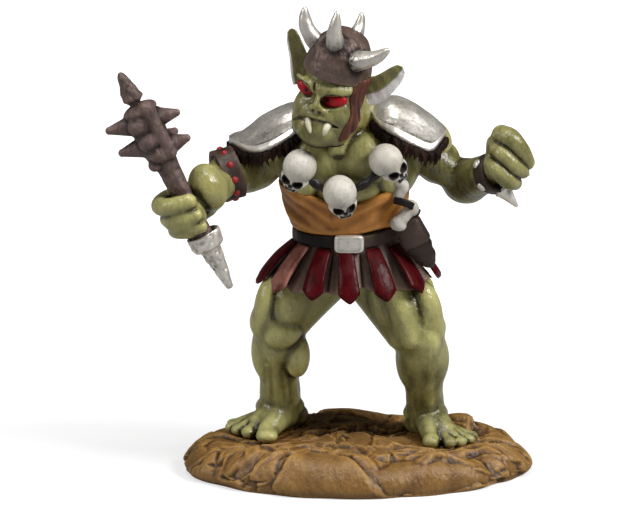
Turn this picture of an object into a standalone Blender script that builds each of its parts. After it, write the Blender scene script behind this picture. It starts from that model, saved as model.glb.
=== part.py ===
"""A painted tabletop figure: an ogre warrior with a spiked mace, moulded in pieces that are pegged and glued.

Metres, +Z up. The origin is the middle of the base's flat underside. The figure faces -Y, and its right hand is
towards -X. Every number below is in millimetres or degrees, and MM turns it into metres where a mesh is made.
"""

import math

import bmesh
import bpy
from mathutils import Euler, Matrix, Vector

MM = 0.001
GAP = 0.3
VOXEL = 0.55
FINE_VOXEL = 0.32

# Base
BASE_HALF_WIDTH = 34.7
BASE_HALF_DEPTH = 22.0
GROUND = 6.0
BASE_SIDES = 56
# Rows from the foot to the middle of the top: share of the oval, share of the ground's height
BASE_ROWS = (
    (0.972, 0.0),
    (0.99, 0.08),
    (1.0, 0.24),
    (0.985, 0.46),
    (0.945, 0.70),
    (0.88, 0.88),
    (0.80, 0.97),
    (0.70, 1.0),
    (0.56, 1.0),
    (0.42, 1.0),
    (0.28, 1.0),
    (0.12, 1.0),
)
# Rocks: place, turn, half length, fall to the front, fall to the back, rise
ROCKS = (
    (-2.0, 14.0, 4, 9.0, 4.5, 5.0, 1.8),
    (24.0, 11.0, -25, 9.0, 5.0, 5.5, 2.2),
    (2.5, 0.8, -37, 8.0, 6.5, 1.5, 2.0),
    (-17.0, -9.5, 16, 9.0, 6.0, 1.2, 1.0),
    (-14.0, -16.0, 10, 6.5, 5.0, 3.5, 1.2),
    (0.5, -17.0, 0, 5.5, 5.0, 4.0, 1.1),
    (14.5, -14.5, 8, 6.5, 6.0, 3.5, 1.3),
    (-30.5, 0.0, 80, 8.0, 4.0, 4.0, 0.5),
    (28.0, -6.0, -50, 5.0, 3.5, 3.5, 0.7),
)
# Notches in the edge: angle, half width in degrees, depth
NOTCHES = (
    (-71, 3.6, 1.6),
    (-104, 5.0, 1.2),
    (-36, 5.0, 1.8),
    (-143, 5.0, 1.1),
    (-123, 6.0, 0.5),
    (-54, 5.0, 0.5),
    (-165, 6.0, 0.3),
    (116, 6.0, 0.8),
    (77, 6.0, 0.9),
    (52, 5.0, 0.6),
    (140, 6.0, 0.5),
    (16, 6.0, 0.4),
)

# Trunk and skirt
HIP = (-1.5, 4.0)
SKIRT_BOTTOM = 39.0
SKIRT_TOP = 46.6
SKIRT_HEM_HALF = (15.4, 11.6)
SKIRT_TOP_HALF = (10.3, 8.3)
BELT_HALF = (11.6, 9.3)
BELT_BAND = (46.9, 50.1)
SASH_BAND = (50.4, 59.0)
FLAP_ANGLES = (-95.0, -61.0, -27.0, 2.0, 28.5, 60.0, 93.0, 126.0, 159.0, 192.0, 225.0)
FLAP_WIDTH = 4.4
FLAP_LENGTH = 11.6
FLAP_THICKNESS = 1.0

# Pegs of the glued joints: radius and depth in the mating piece
FOOT_PEG = (1.4, 3.4)
HIP_PEG = (2.2, 4.0)
WAIST_PEG = (3.2, 4.0)
SHOULDER_PEG = (1.8, 3.5)
WRIST_PEG = (1.3, 2.6)

# Head
HEAD_CENTRE = (-4.8, -6.0, 80.4)
HEAD_PITCH, HEAD_ROLL, HEAD_YAW = 4.0, 15.0, -22.0
HELMET_CENTRE = (0.0, 0.4, 4.6)
HELMET_HALF = (6.9, 7.5, 8.2)
HELMET_BRIM = 2.7

# Mace, measured along its axis from the tip of the pommel
MACE_FOOT = (-26.1, -12.0, 41.0)
MACE_TOP = (-47.1, -12.0, 85.6)
POMMEL_LENGTH = 8.9
COLLAR_SPAN = (9.2, 12.6)
SHAFT_RADIUS = 2.1
HEAD_SPAN = (28.6, 41.6)
MACE_HEAD_RADIUS = 3.2
SPIKE_LENGTH = 4.6
MACE_LENGTH = (Vector(MACE_TOP) - Vector(MACE_FOOT)).length

# Muscles: start, its radius, end, its radius
RIGHT_LEG = (
    ((-11.2, 3.4, 39.0), 7.0, (-15.4, 0.6, 30.5), 5.0),
    ((-13.0, 5.0, 38.5), 5.6, (-17.4, 2.8, 31.0), 3.5),
    ((-8.8, 3.2, 36.6), 5.6, (-12.8, -0.4, 32.0), 3.4),
    ((-10.0, 8.4, 39.0), 5.4, (-14.8, 6.4, 29.0), 3.8),
    ((-15.4, -2.4, 28.8), 2.5, (-15.4, -2.0, 26.6), 2.1),
    ((-15.7, 1.6, 28.5), 4.5, (-15.6, 2.6, 26.0), 4.3),
    ((-15.8, 2.2, 26.0), 3.5, (-15.3, 7.0, 13.5), 2.8),
    ((-12.6, 4.6, 24.6), 2.9, (-13.2, 6.2, 19.6), 2.5),
    ((-17.0, 6.2, 24.5), 3.8, (-16.0, 8.2, 17.5), 2.8),
    ((-15.2, 7.8, 14.5), 3.5, (-15.0, 8.6, 10.5), 3.6),
    ((-13.6, 9.6, 9.8), 3.3, (-11.8, 11.6, 8.2), 2.5),
    ((-15.6, 7.6, 10.2), 3.5, (-20.0, 4.2, 8.2), 2.7),
    ((-17.0, 3.6, 8.6), 2.5, (-18.2, 0.6, 7.6), 1.6),
    ((-19.5, 4.2, 8.2), 1.8, (-21.4, 1.2, 7.4), 1.25),
    ((-20.6, 5.0, 8.2), 1.8, (-23.2, 3.0, 7.3), 1.2),
    ((-21.0, 6.2, 8.2), 1.8, (-24.4, 5.2, 7.2), 1.15),
    ((-20.8, 7.4, 8.1), 1.8, (-24.8, 7.8, 7.1), 1.1),
)
LEFT_LEG = (
    ((7.2, 2.8, 39.0), 7.0, (12.6, -3.0, 29.0), 4.8),
    ((9.6, 4.6, 38.5), 5.2, (15.0, 0.6, 29.5), 3.4),
    ((5.4, 2.4, 36.6), 5.2, (9.4, -3.2, 30.5), 3.2),
    ((6.5, 8.0, 39.0), 5.4, (12.2, 4.0, 28.0), 3.6),
    ((13.0, -6.0, 27.4), 2.4, (13.2, -5.4, 25.0), 2.0),
    ((12.9, -2.0, 27.4), 4.4, (13.1, -0.8, 24.8), 4.1),
    ((13.3, -2.2, 24.5), 3.3, (13.8, 3.2, 13.0), 2.7),
    ((11.0, 1.0, 24.0), 3.1, (11.8, 3.2, 18.0), 2.5),
    ((15.6, 1.6, 24.0), 3.3, (15.2, 3.8, 17.5), 2.5),
    ((13.9, 3.8, 13.5), 3.4, (14.0, 4.6, 9.8), 3.5),
    ((13.0, 5.6, 9.2), 3.2, (12.0, 7.2, 7.9), 2.5),
    ((14.6, 3.4, 9.6), 3.4, (18.4, -1.6, 7.9), 2.6),
    ((15.4, -1.0, 8.4), 2.4, (15.3, -4.2, 7.5), 1.6),
    ((17.0, -2.0, 7.9), 1.8, (18.2, -5.0, 7.2), 1.2),
    ((18.4, -2.0, 7.9), 1.8, (20.8, -4.0, 7.1), 1.2),
    ((19.4, -1.2, 7.9), 1.8, (22.6, -2.0, 7.0), 1.15),
    ((19.8, 0.0, 7.8), 1.8, (23.6, 0.6, 6.9), 1.1),
)
TORSO = (
    ((-4.8, 4.0, 46.0), 7.2, (-5.4, 3.4, 58.0), 7.8),
    ((1.8, 4.0, 46.0), 7.2, (2.4, 3.4, 58.0), 7.8),
    ((-7.4, 2.8, 63.0), 8.4, (4.4, 2.8, 63.0), 8.4),
    ((-8.4, -2.0, 64.4), 5.6, (-4.0, -3.2, 63.0), 4.9),
    ((5.4, -2.0, 64.8), 5.6, (1.0, -3.2, 63.2), 4.9),
    ((-3.4, -1.8, 60.0), 4.6, (-1.4, -1.4, 56.0), 4.8),
    ((-10.0, 4.0, 66.0), 6.3, (-16.6, 4.2, 66.0), 5.4),
    ((6.6, 4.0, 66.6), 6.3, (13.8, 4.2, 66.4), 5.4),
    ((-8.0, 5.0, 70.0), 4.6, (-2.4, 3.0, 73.0), 4.6),
    ((5.0, 5.0, 70.4), 4.6, (-1.4, 3.0, 73.0), 4.6),
    ((-2.0, 2.6, 70.0), 5.4, (-3.6, -1.4, 74.6), 4.4),
    ((-8.6, 8.0, 60.0), 5.6, (-4.8, 7.0, 52.0), 5.2),
    ((5.6, 8.0, 60.0), 5.6, (1.8, 7.0, 52.0), 5.2),
)
RIGHT_ARM = (
    ((-15.5, 4.2, 66.6), 5.4, (-19.8, 5.2, 62.2), 4.7),
    ((-18.2, 2.6, 63.4), 3.4, (-21.0, 2.6, 61.4), 3.6),
    ((-19.8, 5.4, 61.8), 4.6, (-21.6, 3.6, 61.4), 4.4),
    ((-20.8, 4.6, 61.4), 4.4, (-25.4, -2.0, 61.8), 4.0),
    ((-22.0, 3.4, 60.2), 3.4, (-24.8, -1.2, 60.4), 2.8),
    ((-25.4, -2.0, 61.8), 4.0, (-28.4, -5.4, 60.6), 3.6),
)
LEFT_ARM = (
    ((12.5, 4.0, 67.0), 5.3, (16.8, 4.4, 63.0), 4.7),
    ((15.6, 2.2, 63.2), 3.4, (20.6, 2.6, 60.0), 3.4),
    ((15.8, 6.2, 62.2), 3.5, (21.4, 6.4, 58.8), 3.4),
    ((21.6, 5.0, 58.6), 4.4, (22.4, 3.6, 59.0), 4.3),
    ((22.2, 3.6, 59.0), 4.4, (26.4, -4.8, 62.8), 3.2),
    ((23.8, 2.0, 59.2), 3.2, (26.6, -4.0, 62.0), 2.5),
)
RIGHT_SHOULDER = (-17.0, 4.4, 65.2)
LEFT_SHOULDER = (14.0, 4.2, 65.8)
RIGHT_WRIST = (-27.2, -4.1, 61.1)
RIGHT_WRIST_AXIS = (-0.63, -0.72, -0.29)
LEFT_WRIST = (26.6, -5.2, 63.0)
LEFT_WRIST_AXIS = (0.40, -0.83, 0.39)

# Fists. The right one lies in the mace's own frame, its Z along the shaft.
GRIP_HEIGHT = 18.6
FINGER_RADIUS = 1.45
FINGER_PITCH = 2.5
LEFT_FIST = (
    ((26.8, -6.0, 63.2), 3.2, (28.8, -7.6, 65.6), 4.2),
    ((29.0, -7.8, 64.4), 3.5, (30.2, -7.8, 68.4), 3.9),
    ((28.9, -9.2, 71.0), 2.3, (33.0, -9.8, 66.0), 2.0),
    ((30.0, -7.4, 72.2), 1.8, (33.4, -7.6, 68.2), 1.8),
    ((27.8, -10.9, 67.4), 1.8, (31.6, -11.0, 62.8), 1.6),
    ((26.8, -10.6, 64.8), 1.8, (29.8, -10.8, 61.0), 1.6),
)

# Head, in its own frame
HEAD = (
    ((0.0, 1.0, 2.6), 6.2, (0.0, 0.4, 5.4), 5.8),
    ((-2.6, -1.0, -1.0), 4.4, (2.6, -1.0, -1.0), 4.4),
    ((-2.4, -1.6, -5.6), 3.8, (2.4, -1.6, -5.6), 3.8),
    ((-1.6, -3.4, -7.4), 2.7, (1.6, -3.4, -7.4), 2.7),
    ((-2.6, -4.6, 1.2), 1.7, (2.6, -4.6, 1.2), 1.7),
    ((0.0, -5.6, -1.0), 1.1, (0.0, -6.4, -3.2), 1.6),
)
HORNS = {
    "helmet_horn_front": ((0.6, -5.4, 7.2), (0.2, -8.0, 11.4), (0.4, -8.2, 15.6)),
    "helmet_horn_right": ((-4.6, -1.4, 8.2), (-7.4, -2.2, 11.4), (-8.4, -2.6, 15.2)),
    "helmet_horn_left": ((6.0, 0.6, 5.4), (8.8, 0.8, 7.0), (11.0, 0.6, 10.2)),
    "helmet_horn_back": ((1.4, 5.0, 9.0), (1.8, 7.6, 11.2), (1.6, 8.6, 14.0)),
}
HORN_RADII = (2.1, 1.45, 0.45)
EARS = {
    "right_ear": ((-6.0, 1.4, -1.6), (-7.4, 1.8, 5.2), (-7.0, 2.4, 12.0)),
    "left_ear": ((6.0, 1.4, -2.4), (9.4, 2.0, 2.2), (12.6, 2.8, 6.6)),
}
EAR_RADII = (1.7, 2.3, 0.9)
EAR_FLATNESS = 0.42
FANGS = {"right_fang": (-2.0, -6.6, -6.4), "left_fang": (2.0, -6.6, -6.4)}
FANG_SIZE = (0.85, 3.0)
STRAP_PATH = (
    (6.3, -0.6, 2.2),
    (6.5, -0.8, -1.6),
    (6.0, -1.2, -5.6),
    (3.8, -1.8, -9.0),
    (0.0, -2.2, -10.3),
    (-3.8, -1.8, -9.0),
    (-6.0, -1.2, -5.6),
    (-6.5, -0.8, -1.6),
    (-6.3, -0.6, 2.2),
)
STRAP_HALF = (0.75, 1.5)

# Shoulder plates: centre, roll
PAULDRONS = {"right": ((-18.0, 2.4, 69.6), -24.0), "left": ((11.4, 2.4, 70.6), 24.0)}
PAULDRON_HALF = (8.8, 10.2, 5.8)
FUR_DROP = 1.6
FUR_HALF = (8.0, 9.6, 5.6)
FUR_HEM = -2.6

# Skulls: centre, turned about X, Y, Z
SKULLS = {
    "skull_right": ((-11.6, -8.6, 64.0), (28.0, 24.0, -12.0)),
    "skull_middle": ((-3.1, -9.9, 59.2), (34.0, -12.0, 6.0)),
    "skull_left": ((6.5, -8.6, 65.4), (24.0, -34.0, 22.0)),
}
SKULL = (
    ((0.0, 0.4, 0.9), 3.3, (0.0, -0.3, 0.5), 3.3),
    ((-0.9, -1.8, -1.5), 1.5, (0.9, -1.8, -1.5), 1.5),
    ((-0.5, -2.2, -2.7), 1.1, (0.5, -2.2, -2.7), 1.1),
)
SOCKETS = (((-1.25, -3.2, -0.7), 0.85), ((1.25, -3.2, -0.7), 0.85), ((0.0, -3.6, -1.9), 0.5))
CORD_PATH = (
    (-15.0, -3.4, 68.0),
    (-11.8, -6.2, 64.2),
    (-7.4, -8.2, 61.0),
    (-3.0, -8.4, 59.4),
    (1.6, -8.2, 61.4),
    (6.4, -6.4, 65.4),
    (9.6, -3.6, 69.2),
)
CORD_RADIUS = 0.7

# Left hip
POUCH_RINGS = (
    ((11.6, -1.2, 53.6), (1.6, 1.2)),
    ((11.9, -1.0, 49.4), (2.4, 1.9)),
    ((13.6, -0.8, 45.0), (2.8, 2.1)),
    ((15.4, -0.8, 40.8), (1.7, 1.5)),
)
BONES = {
    "bone_upper": ((8.6, -5.2, 58.4), (9.8, -4.8, 55.8), 1.35, 1.5),
    "bone_lower": ((8.6, -6.8, 50.6), (11.8, -5.6, 54.8), 1.15, 1.7),
}

# Right bracelet and left bracer
BRACELET = ((-24.9, -1.4, 61.9), 5.2, 3.4)
BRACELET_STUDS = 9
BRACER = ((25.9, -3.9, 62.3), 4.6, 4.2)
BRACER_SPIKES = {
    "bracer_spike_1": ((27.9, -6.1, 58.6), (0.62, -0.42, -0.66), 4.4),
    "bracer_spike_2": ((29.8, -4.0, 63.8), (0.95, -0.05, -0.32), 4.2),
}


def point(place):
    return Vector(place) * MM


def paint(name, colour, roughness, metallic=0.0):
    """A painted finish on a Principled BSDF."""
    finish = bpy.data.materials.new(name)
    finish.use_nodes = True
    shader = finish.node_tree.nodes["Principled BSDF"]
    shader.inputs["Base Color"].default_value = (*colour, 1.0)
    shader.inputs["Roughness"].default_value = roughness
    shader.inputs["Metallic"].default_value = metallic
    finish.diffuse_color = (*colour, 1.0)
    return finish


def clear_scene():
    for obj in list(bpy.data.objects):
        bpy.data.objects.remove(obj)


def collection(name):
    made = bpy.data.collections.new(name)
    bpy.context.scene.collection.children.link(made)
    return made


def holder(name, place, rotation):
    """An empty that carries a group of pieces in a frame of its own."""
    empty = bpy.data.objects.new(name, None)
    empty.matrix_world = Matrix.Translation(point(place)) @ rotation.to_matrix().to_4x4()
    PARTS.objects.link(empty)
    return empty


def add_object(name, bm, look, parent=None, into=None):
    """Puts a bmesh into a named object with one material, its faces pointing out."""
    bmesh.ops.recalc_face_normals(bm, faces=bm.faces)
    mesh = bpy.data.meshes.new(name)
    bm.to_mesh(mesh)
    bm.free()
    if look:
        mesh.materials.append(look)
    obj = bpy.data.objects.new(name, mesh)
    obj.parent = parent
    (into or PARTS).objects.link(obj)
    return obj


def finish_shading():
    """Round pieces are smooth, with an edge kept wherever two faces turn more than 40 degrees."""
    for obj in PARTS.objects:
        if obj.type == "MESH":
            obj.data.shade_smooth()
            obj.data.set_sharp_from_angle(angle=math.radians(40))


def bake(obj):
    """Keeps what the object's modifiers make of its mesh."""
    bpy.context.view_layer.update()
    graph = bpy.context.evaluated_depsgraph_get()
    made = bpy.data.meshes.new_from_object(obj.evaluated_get(graph))
    old = obj.data
    obj.modifiers.clear()
    obj.data = made
    bpy.data.meshes.remove(old)


def helper(obj):
    obj.hide_render = True
    obj.display_type = "WIRE"
    return obj


def combine(obj, other, operation, solver="EXACT"):
    """Joins or cuts an object by another, which is used up."""
    step = obj.modifiers.new(operation.lower(), "BOOLEAN")
    step.operation = operation
    step.solver = solver
    step.object = helper(other)
    bake(obj)
    bpy.data.objects.remove(other)


def keep_main_body(obj):
    """Drops the crumbs that a cut leaves: only the body with the largest surface stays."""
    bm = bmesh.new()
    bm.from_mesh(obj.data)
    left = set(bm.faces)
    bodies = []
    while left:
        reached = [left.pop()]
        body = []
        while reached:
            face = reached.pop()
            body.append(face)
            beside = {f for edge in face.edges for f in edge.link_faces} & left
            left -= beside
            reached.extend(beside)
        bodies.append(body)
    bodies.sort(key=lambda body: sum(face.calc_area() for face in body))
    for crumb in bodies[:-1]:
        bmesh.ops.delete(bm, geom=crumb, context="FACES")
    bm.to_mesh(obj.data)
    bm.free()


def clear_of(obj, *neighbours, gap=GAP, solver="EXACT"):
    """Cuts an object back from each neighbour."""
    for neighbour in neighbours:
        swollen = neighbour.copy()
        swollen.data = neighbour.data.copy()
        swollen.name = "swollen"
        CUTTERS.objects.link(swollen)
        swell = swollen.modifiers.new("swell", "DISPLACE")
        swell.strength = gap * MM
        swell.mid_level = 0.0
        combine(obj, swollen, "DIFFERENCE", solver)
    keep_main_body(obj)


def cut_beyond(obj, place, normal):
    """Takes away everything past a plane, on the side its normal points to."""
    reach = 120.0 * MM
    turned = Vector(normal).to_track_quat("Z", "Y").to_matrix().to_4x4()
    bm = bmesh.new()
    bmesh.ops.create_cube(bm, size=2 * reach, matrix=Matrix.Translation((0, 0, reach)))
    bmesh.ops.transform(bm, matrix=Matrix.Translation(point(place)) @ turned, verts=bm.verts)
    combine(obj, add_object("beyond", bm, None, into=CUTTERS), "DIFFERENCE")


def rod(bm, place, axis, radii, length, sides=16):
    """A cone or cylinder whose foot is at a place, along an axis."""
    turned = Vector(axis).to_track_quat("Z", "Y").to_matrix().to_4x4()
    lifted = Matrix.Translation(point(place)) @ turned @ Matrix.Translation((0, 0, length * MM / 2))
    bmesh.ops.create_cone(
        bm,
        cap_ends=True,
        segments=sides,
        radius1=radii[0] * MM,
        radius2=radii[1] * MM,
        depth=length * MM,
        matrix=lifted,
    )


def peg(obj, mate, place, axis, size, root=2.0):
    """A glued joint: a peg on one piece, and a socket with GAP all round in the other."""
    radius, depth = size
    foot = Vector(place) - Vector(axis).normalized() * root
    bm = bmesh.new()
    rod(bm, foot, axis, (radius, radius), root + depth)
    combine(obj, add_object("peg", bm, None, into=CUTTERS), "UNION")
    bm = bmesh.new()
    rod(bm, foot, axis, (radius + GAP, radius + GAP), root + depth + GAP)
    combine(mate, add_object("socket", bm, None, into=CUTTERS), "DIFFERENCE")


def add_muscle(cage, start, start_radius, end, end_radius):
    """Adds the hull of two balls."""
    lump = bmesh.new()
    for centre, radius in ((start, start_radius), (end, end_radius)):
        at = Matrix.Translation(point(centre))
        bmesh.ops.create_icosphere(lump, subdivisions=2, radius=radius * MM, matrix=at)
    bmesh.ops.delete(lump, geom=lump.edges[:], context="EDGES_FACES")
    hull = bmesh.ops.convex_hull(lump, input=lump.verts)
    inside = [item for item in hull["geom_interior"] if isinstance(item, bmesh.types.BMVert)]
    bmesh.ops.delete(lump, geom=inside, context="VERTS")
    mesh = bpy.data.meshes.new("muscle")
    lump.to_mesh(mesh)
    lump.free()
    cage.from_mesh(mesh)
    bpy.data.meshes.remove(mesh)


def flesh(name, look, muscles, triangles, voxel=VOXEL, parent=None, smoothing=5):
    """Grown-together muscles: their hulls remeshed as one skin, smoothed and thinned."""
    cage = bmesh.new()
    for muscle in muscles:
        add_muscle(cage, *muscle)
    obj = add_object(name, cage, look, parent)
    skin = obj.modifiers.new("skin", "REMESH")
    skin.mode = "VOXEL"
    skin.voxel_size = voxel * MM
    smooth = obj.modifiers.new("smooth", "SMOOTH")
    smooth.factor = 0.5
    smooth.iterations = smoothing
    bake(obj)
    obj.data.calc_loop_triangles()
    thin = obj.modifiers.new("thin", "DECIMATE")
    thin.ratio = triangles / len(obj.data.loop_triangles)
    bake(obj)
    return obj


def ring(centre, half, count=24, ripple=0.0, ripples=0):
    """Points of a level ellipse, whose radius can ripple."""
    points = []
    for step in range(count):
        angle = 2 * math.pi * step / count
        swell = 1 + ripple * math.cos(ripples * angle)
        offset = (half[0] * swell * math.cos(angle), half[1] * swell * math.sin(angle), 0.0)
        points.append(Vector(centre) + Vector(offset))
    return points


def loft(name, look, rings, parent=None, into=None):
    """A closed solid skinned through rings of equal count, with flat ends."""
    bm = bmesh.new()
    loops = [[bm.verts.new(point(p)) for p in loop] for loop in rings]
    bm.faces.new(reversed(loops[0]))
    bm.faces.new(loops[-1])
    for low, high in zip(loops, loops[1:]):
        for step in range(len(low)):
            bm.faces.new((low[step - 1], low[step], high[step], high[step - 1]))
    return add_object(name, bm, look, parent, into)


def tube(name, look, places, radii, sides=2, parent=None):
    """A bent rod along a curve, with its own radius at each point."""
    curve = bpy.data.curves.new(name, "CURVE")
    curve.dimensions = "3D"
    curve.bevel_depth = MM
    curve.bevel_resolution = sides
    curve.use_fill_caps = True
    curve.resolution_u = 3
    spline = curve.splines.new("NURBS")
    spline.points.add(len(places) - 1)
    spline.use_endpoint_u = True
    spline.order_u = 3
    for knot, place, radius in zip(spline.points, places, radii):
        knot.co = (*point(place), 1.0)
        knot.radius = radius
    line = bpy.data.objects.new("line", curve)
    CUTTERS.objects.link(line)
    bpy.context.view_layer.update()
    graph = bpy.context.evaluated_depsgraph_get()
    bm = bmesh.new()
    mesh = bpy.data.meshes.new_from_object(line.evaluated_get(graph))
    bm.from_mesh(mesh)
    bmesh.ops.remove_doubles(bm, verts=bm.verts, dist=0.001 * MM)
    bpy.data.objects.remove(line)
    bpy.data.meshes.remove(mesh)
    return add_object(name, bm, look, parent)


def dome(name, look, half, hem, parent):
    """An ellipsoid kept above a level hem."""
    bm = bmesh.new()
    size = Matrix.Diagonal((*half, 1.0))
    bmesh.ops.create_uvsphere(bm, u_segments=16, v_segments=10, radius=MM, matrix=size)
    obj = add_object(name, bm, look, parent)
    bm = bmesh.new()
    side = 60.0 * MM
    below = Matrix.Translation((0, 0, hem * MM - side / 2))
    bmesh.ops.create_cube(bm, size=side, matrix=below)
    combine(obj, add_object("below", bm, None, parent, CUTTERS), "DIFFERENCE")
    return obj


def ground_height(x, y):
    """Height of the ground: a low crown with long rocks, each with its own fall to front and back."""
    height = GROUND + 0.3 * math.sin(0.16 * x + 0.8) * math.cos(0.21 * y)
    for rock_x, rock_y, turn, length, front, back, rise in ROCKS:
        c = math.cos(math.radians(turn))
        s = math.sin(math.radians(turn))
        forth = (x - rock_x) * c + (y - rock_y) * s
        aside = (y - rock_y) * c - (x - rock_x) * s
        fall = back if aside > 0 else front
        height += rise * math.exp(-((forth / length) ** 2) - (aside / fall) ** 2)
    return height


def edge_line(angle):
    """How far the edge lies from the oval, as a share of it, with its notches."""
    edge = 1 + 0.008 * math.sin(3 * angle + 0.6) + 0.005 * math.sin(7 * angle + 2)
    for degrees, width, depth in NOTCHES:
        off = (math.degrees(angle) - degrees + 180) % 360 - 180
        edge -= depth / 27 * math.exp(-((off / width) ** 2))
    return edge


def make_base():
    rings = []
    for share, level in BASE_ROWS:
        loop = []
        for step in range(BASE_SIDES):
            angle = 2 * math.pi * step / BASE_SIDES
            notched = min(max((share - 0.6) / 0.35, 0), 1)
            reach = share * (1 + (edge_line(angle) - 1) * notched)
            x = BASE_HALF_WIDTH * reach * math.cos(angle)
            y = BASE_HALF_DEPTH * reach * math.sin(angle)
            loop.append((x, y, ground_height(x, y) * level))
        rings.append(loop)
    return loft("base", EARTH, rings)


def make_legs(base):
    legs = []
    for name, muscles, ankle in (("right_leg", RIGHT_LEG, 9), ("left_leg", LEFT_LEG, 9)):
        leg = flesh(name, SKIN, muscles, 560)
        cut_beyond(leg, (0, 0, SKIRT_BOTTOM - GAP), (0, 0, 1))
        clear_of(leg, base)
        foot = muscles[ankle][2]
        peg(leg, base, (foot[0], foot[1], GROUND), (0, 0, -1), FOOT_PEG)
        legs.append(leg)
    return legs


def make_skirt(legs):
    rings = []
    for share in (0.0, 0.5, 1.0):
        half = [hem + (top - hem) * share**0.8 for hem, top in zip(SKIRT_HEM_HALF, SKIRT_TOP_HALF)]
        height = SKIRT_BOTTOM + (SKIRT_TOP - SKIRT_BOTTOM) * share
        rings.append(ring((*HIP, height), half, 44, 0.03 * (1 - share), 22))
    skirt = loft("under_skirt", DUN, rings)
    for leg, muscles in zip(legs, (RIGHT_LEG, LEFT_LEG)):
        hip = muscles[0][0]
        peg(leg, skirt, (hip[0], hip[1] + 1, SKIRT_BOTTOM), (0, 0, 1), HIP_PEG, root=4.0)
    return skirt


def make_torso(skirt):
    torso = flesh("torso", SKIN, TORSO, 620)
    cut_beyond(torso, (0, 0, SKIRT_TOP + GAP), (0, 0, -1))
    cut_beyond(torso, Vector(RIGHT_SHOULDER) + Vector((GAP / 2, 0, 0)), (-1, 0, 0))
    cut_beyond(torso, Vector(LEFT_SHOULDER) - Vector((GAP / 2, 0, 0)), (1, 0, 0))
    peg(skirt, torso, (*HIP, SKIRT_TOP), (0, 0, 1), WAIST_PEG)
    return torso


def make_arms(torso):
    arms = []
    for name, muscles, shoulder, side, wrist, along in (
        ("right_arm", RIGHT_ARM, RIGHT_SHOULDER, -1, RIGHT_WRIST, RIGHT_WRIST_AXIS),
        ("left_arm", LEFT_ARM, LEFT_SHOULDER, 1, LEFT_WRIST, LEFT_WRIST_AXIS),
    ):
        arm = flesh(name, SKIN, muscles, 280)
        cut_beyond(arm, Vector(shoulder) + Vector((side * GAP / 2, 0, 0)), (-side, 0, 0))
        clear_of(arm, torso)
        peg(arm, torso, shoulder, (-side, 0, 0), SHOULDER_PEG)
        cut_beyond(arm, Vector(wrist) - Vector(along) * GAP / 2, along)
        arms.append(arm)
    return arms


def make_mace(frame):
    bm = bmesh.new()
    rod(bm, (0, 0, POMMEL_LENGTH - 2.0), (0, 0, 1), (1.7, SHAFT_RADIUS), 4.0, 20)
    shaft = add_object("mace_shaft", bm, IRON, frame)
    bm = bmesh.new()
    top = HEAD_SPAN[0] + 3.0
    rod(bm, (0, 0, COLLAR_SPAN[0]), (0, 0, 1), (SHAFT_RADIUS, SHAFT_RADIUS), top - COLLAR_SPAN[0], 20)
    combine(shaft, add_object("handle", bm, None, frame, CUTTERS), "UNION")

    outline = ((0.0, 0.78), (1.6, 1.0), (11.0, 1.0), (13.0, 0.72))
    rings = []
    for rise, share in outline:
        half = (MACE_HEAD_RADIUS * share,) * 2
        rings.append(ring((0, 0, HEAD_SPAN[0] + rise), half, 8))
    head = loft("mace_head", IRON, rings, frame)
    for row, rise in enumerate((3.2, 8.6)):
        for step in range(5):
            angle = math.radians(72 * step + 36 * row + 18)
            out = Vector((math.cos(angle), math.sin(angle), 0.12))
            bm = bmesh.new()
            foot = Vector((0, 0, HEAD_SPAN[0] + rise)) + out * 1.5
            rod(bm, foot, out, (1.75, 0.55), MACE_HEAD_RADIUS - 1.5 + SPIKE_LENGTH, 8)
            combine(head, add_object("spike", bm, None, frame, CUTTERS), "UNION")
    clear_of(head, shaft)

    neck = HEAD_SPAN[1] + GAP
    stem = MACE_LENGTH - neck
    profile = ((0.0, 1.5), (0.28, 1.4), (0.36, 2.05), (0.55, 1.75), (0.95, 0.5), (1.0, 0.25))
    rings = [ring((0, 0, neck + stem * share), (radius, radius), 10) for share, radius in profile]
    loft("mace_finial", IRON, rings, frame)

    rings = [ring((0, 0, COLLAR_SPAN[0]), (2.6, 2.6), 20), ring((0, 0, COLLAR_SPAN[0] + 1.2), (3.4, 3.4), 20)]
    rings.append(ring((0, 0, COLLAR_SPAN[1]), (3.1, 3.1), 20))
    collar = loft("mace_collar", SILVER, rings, frame)
    clear_of(collar, shaft)

    profile = ((0.0, 0.4), (0.12, 0.75), (0.6, 1.75), (1.0, 2.45))
    rings = [ring((0, 0, POMMEL_LENGTH * s), (radius, radius), 16) for s, radius in profile]
    pommel = loft("mace_pommel", SILVER, rings, frame)
    clear_of(pommel, shaft)
    return shaft, collar


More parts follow.
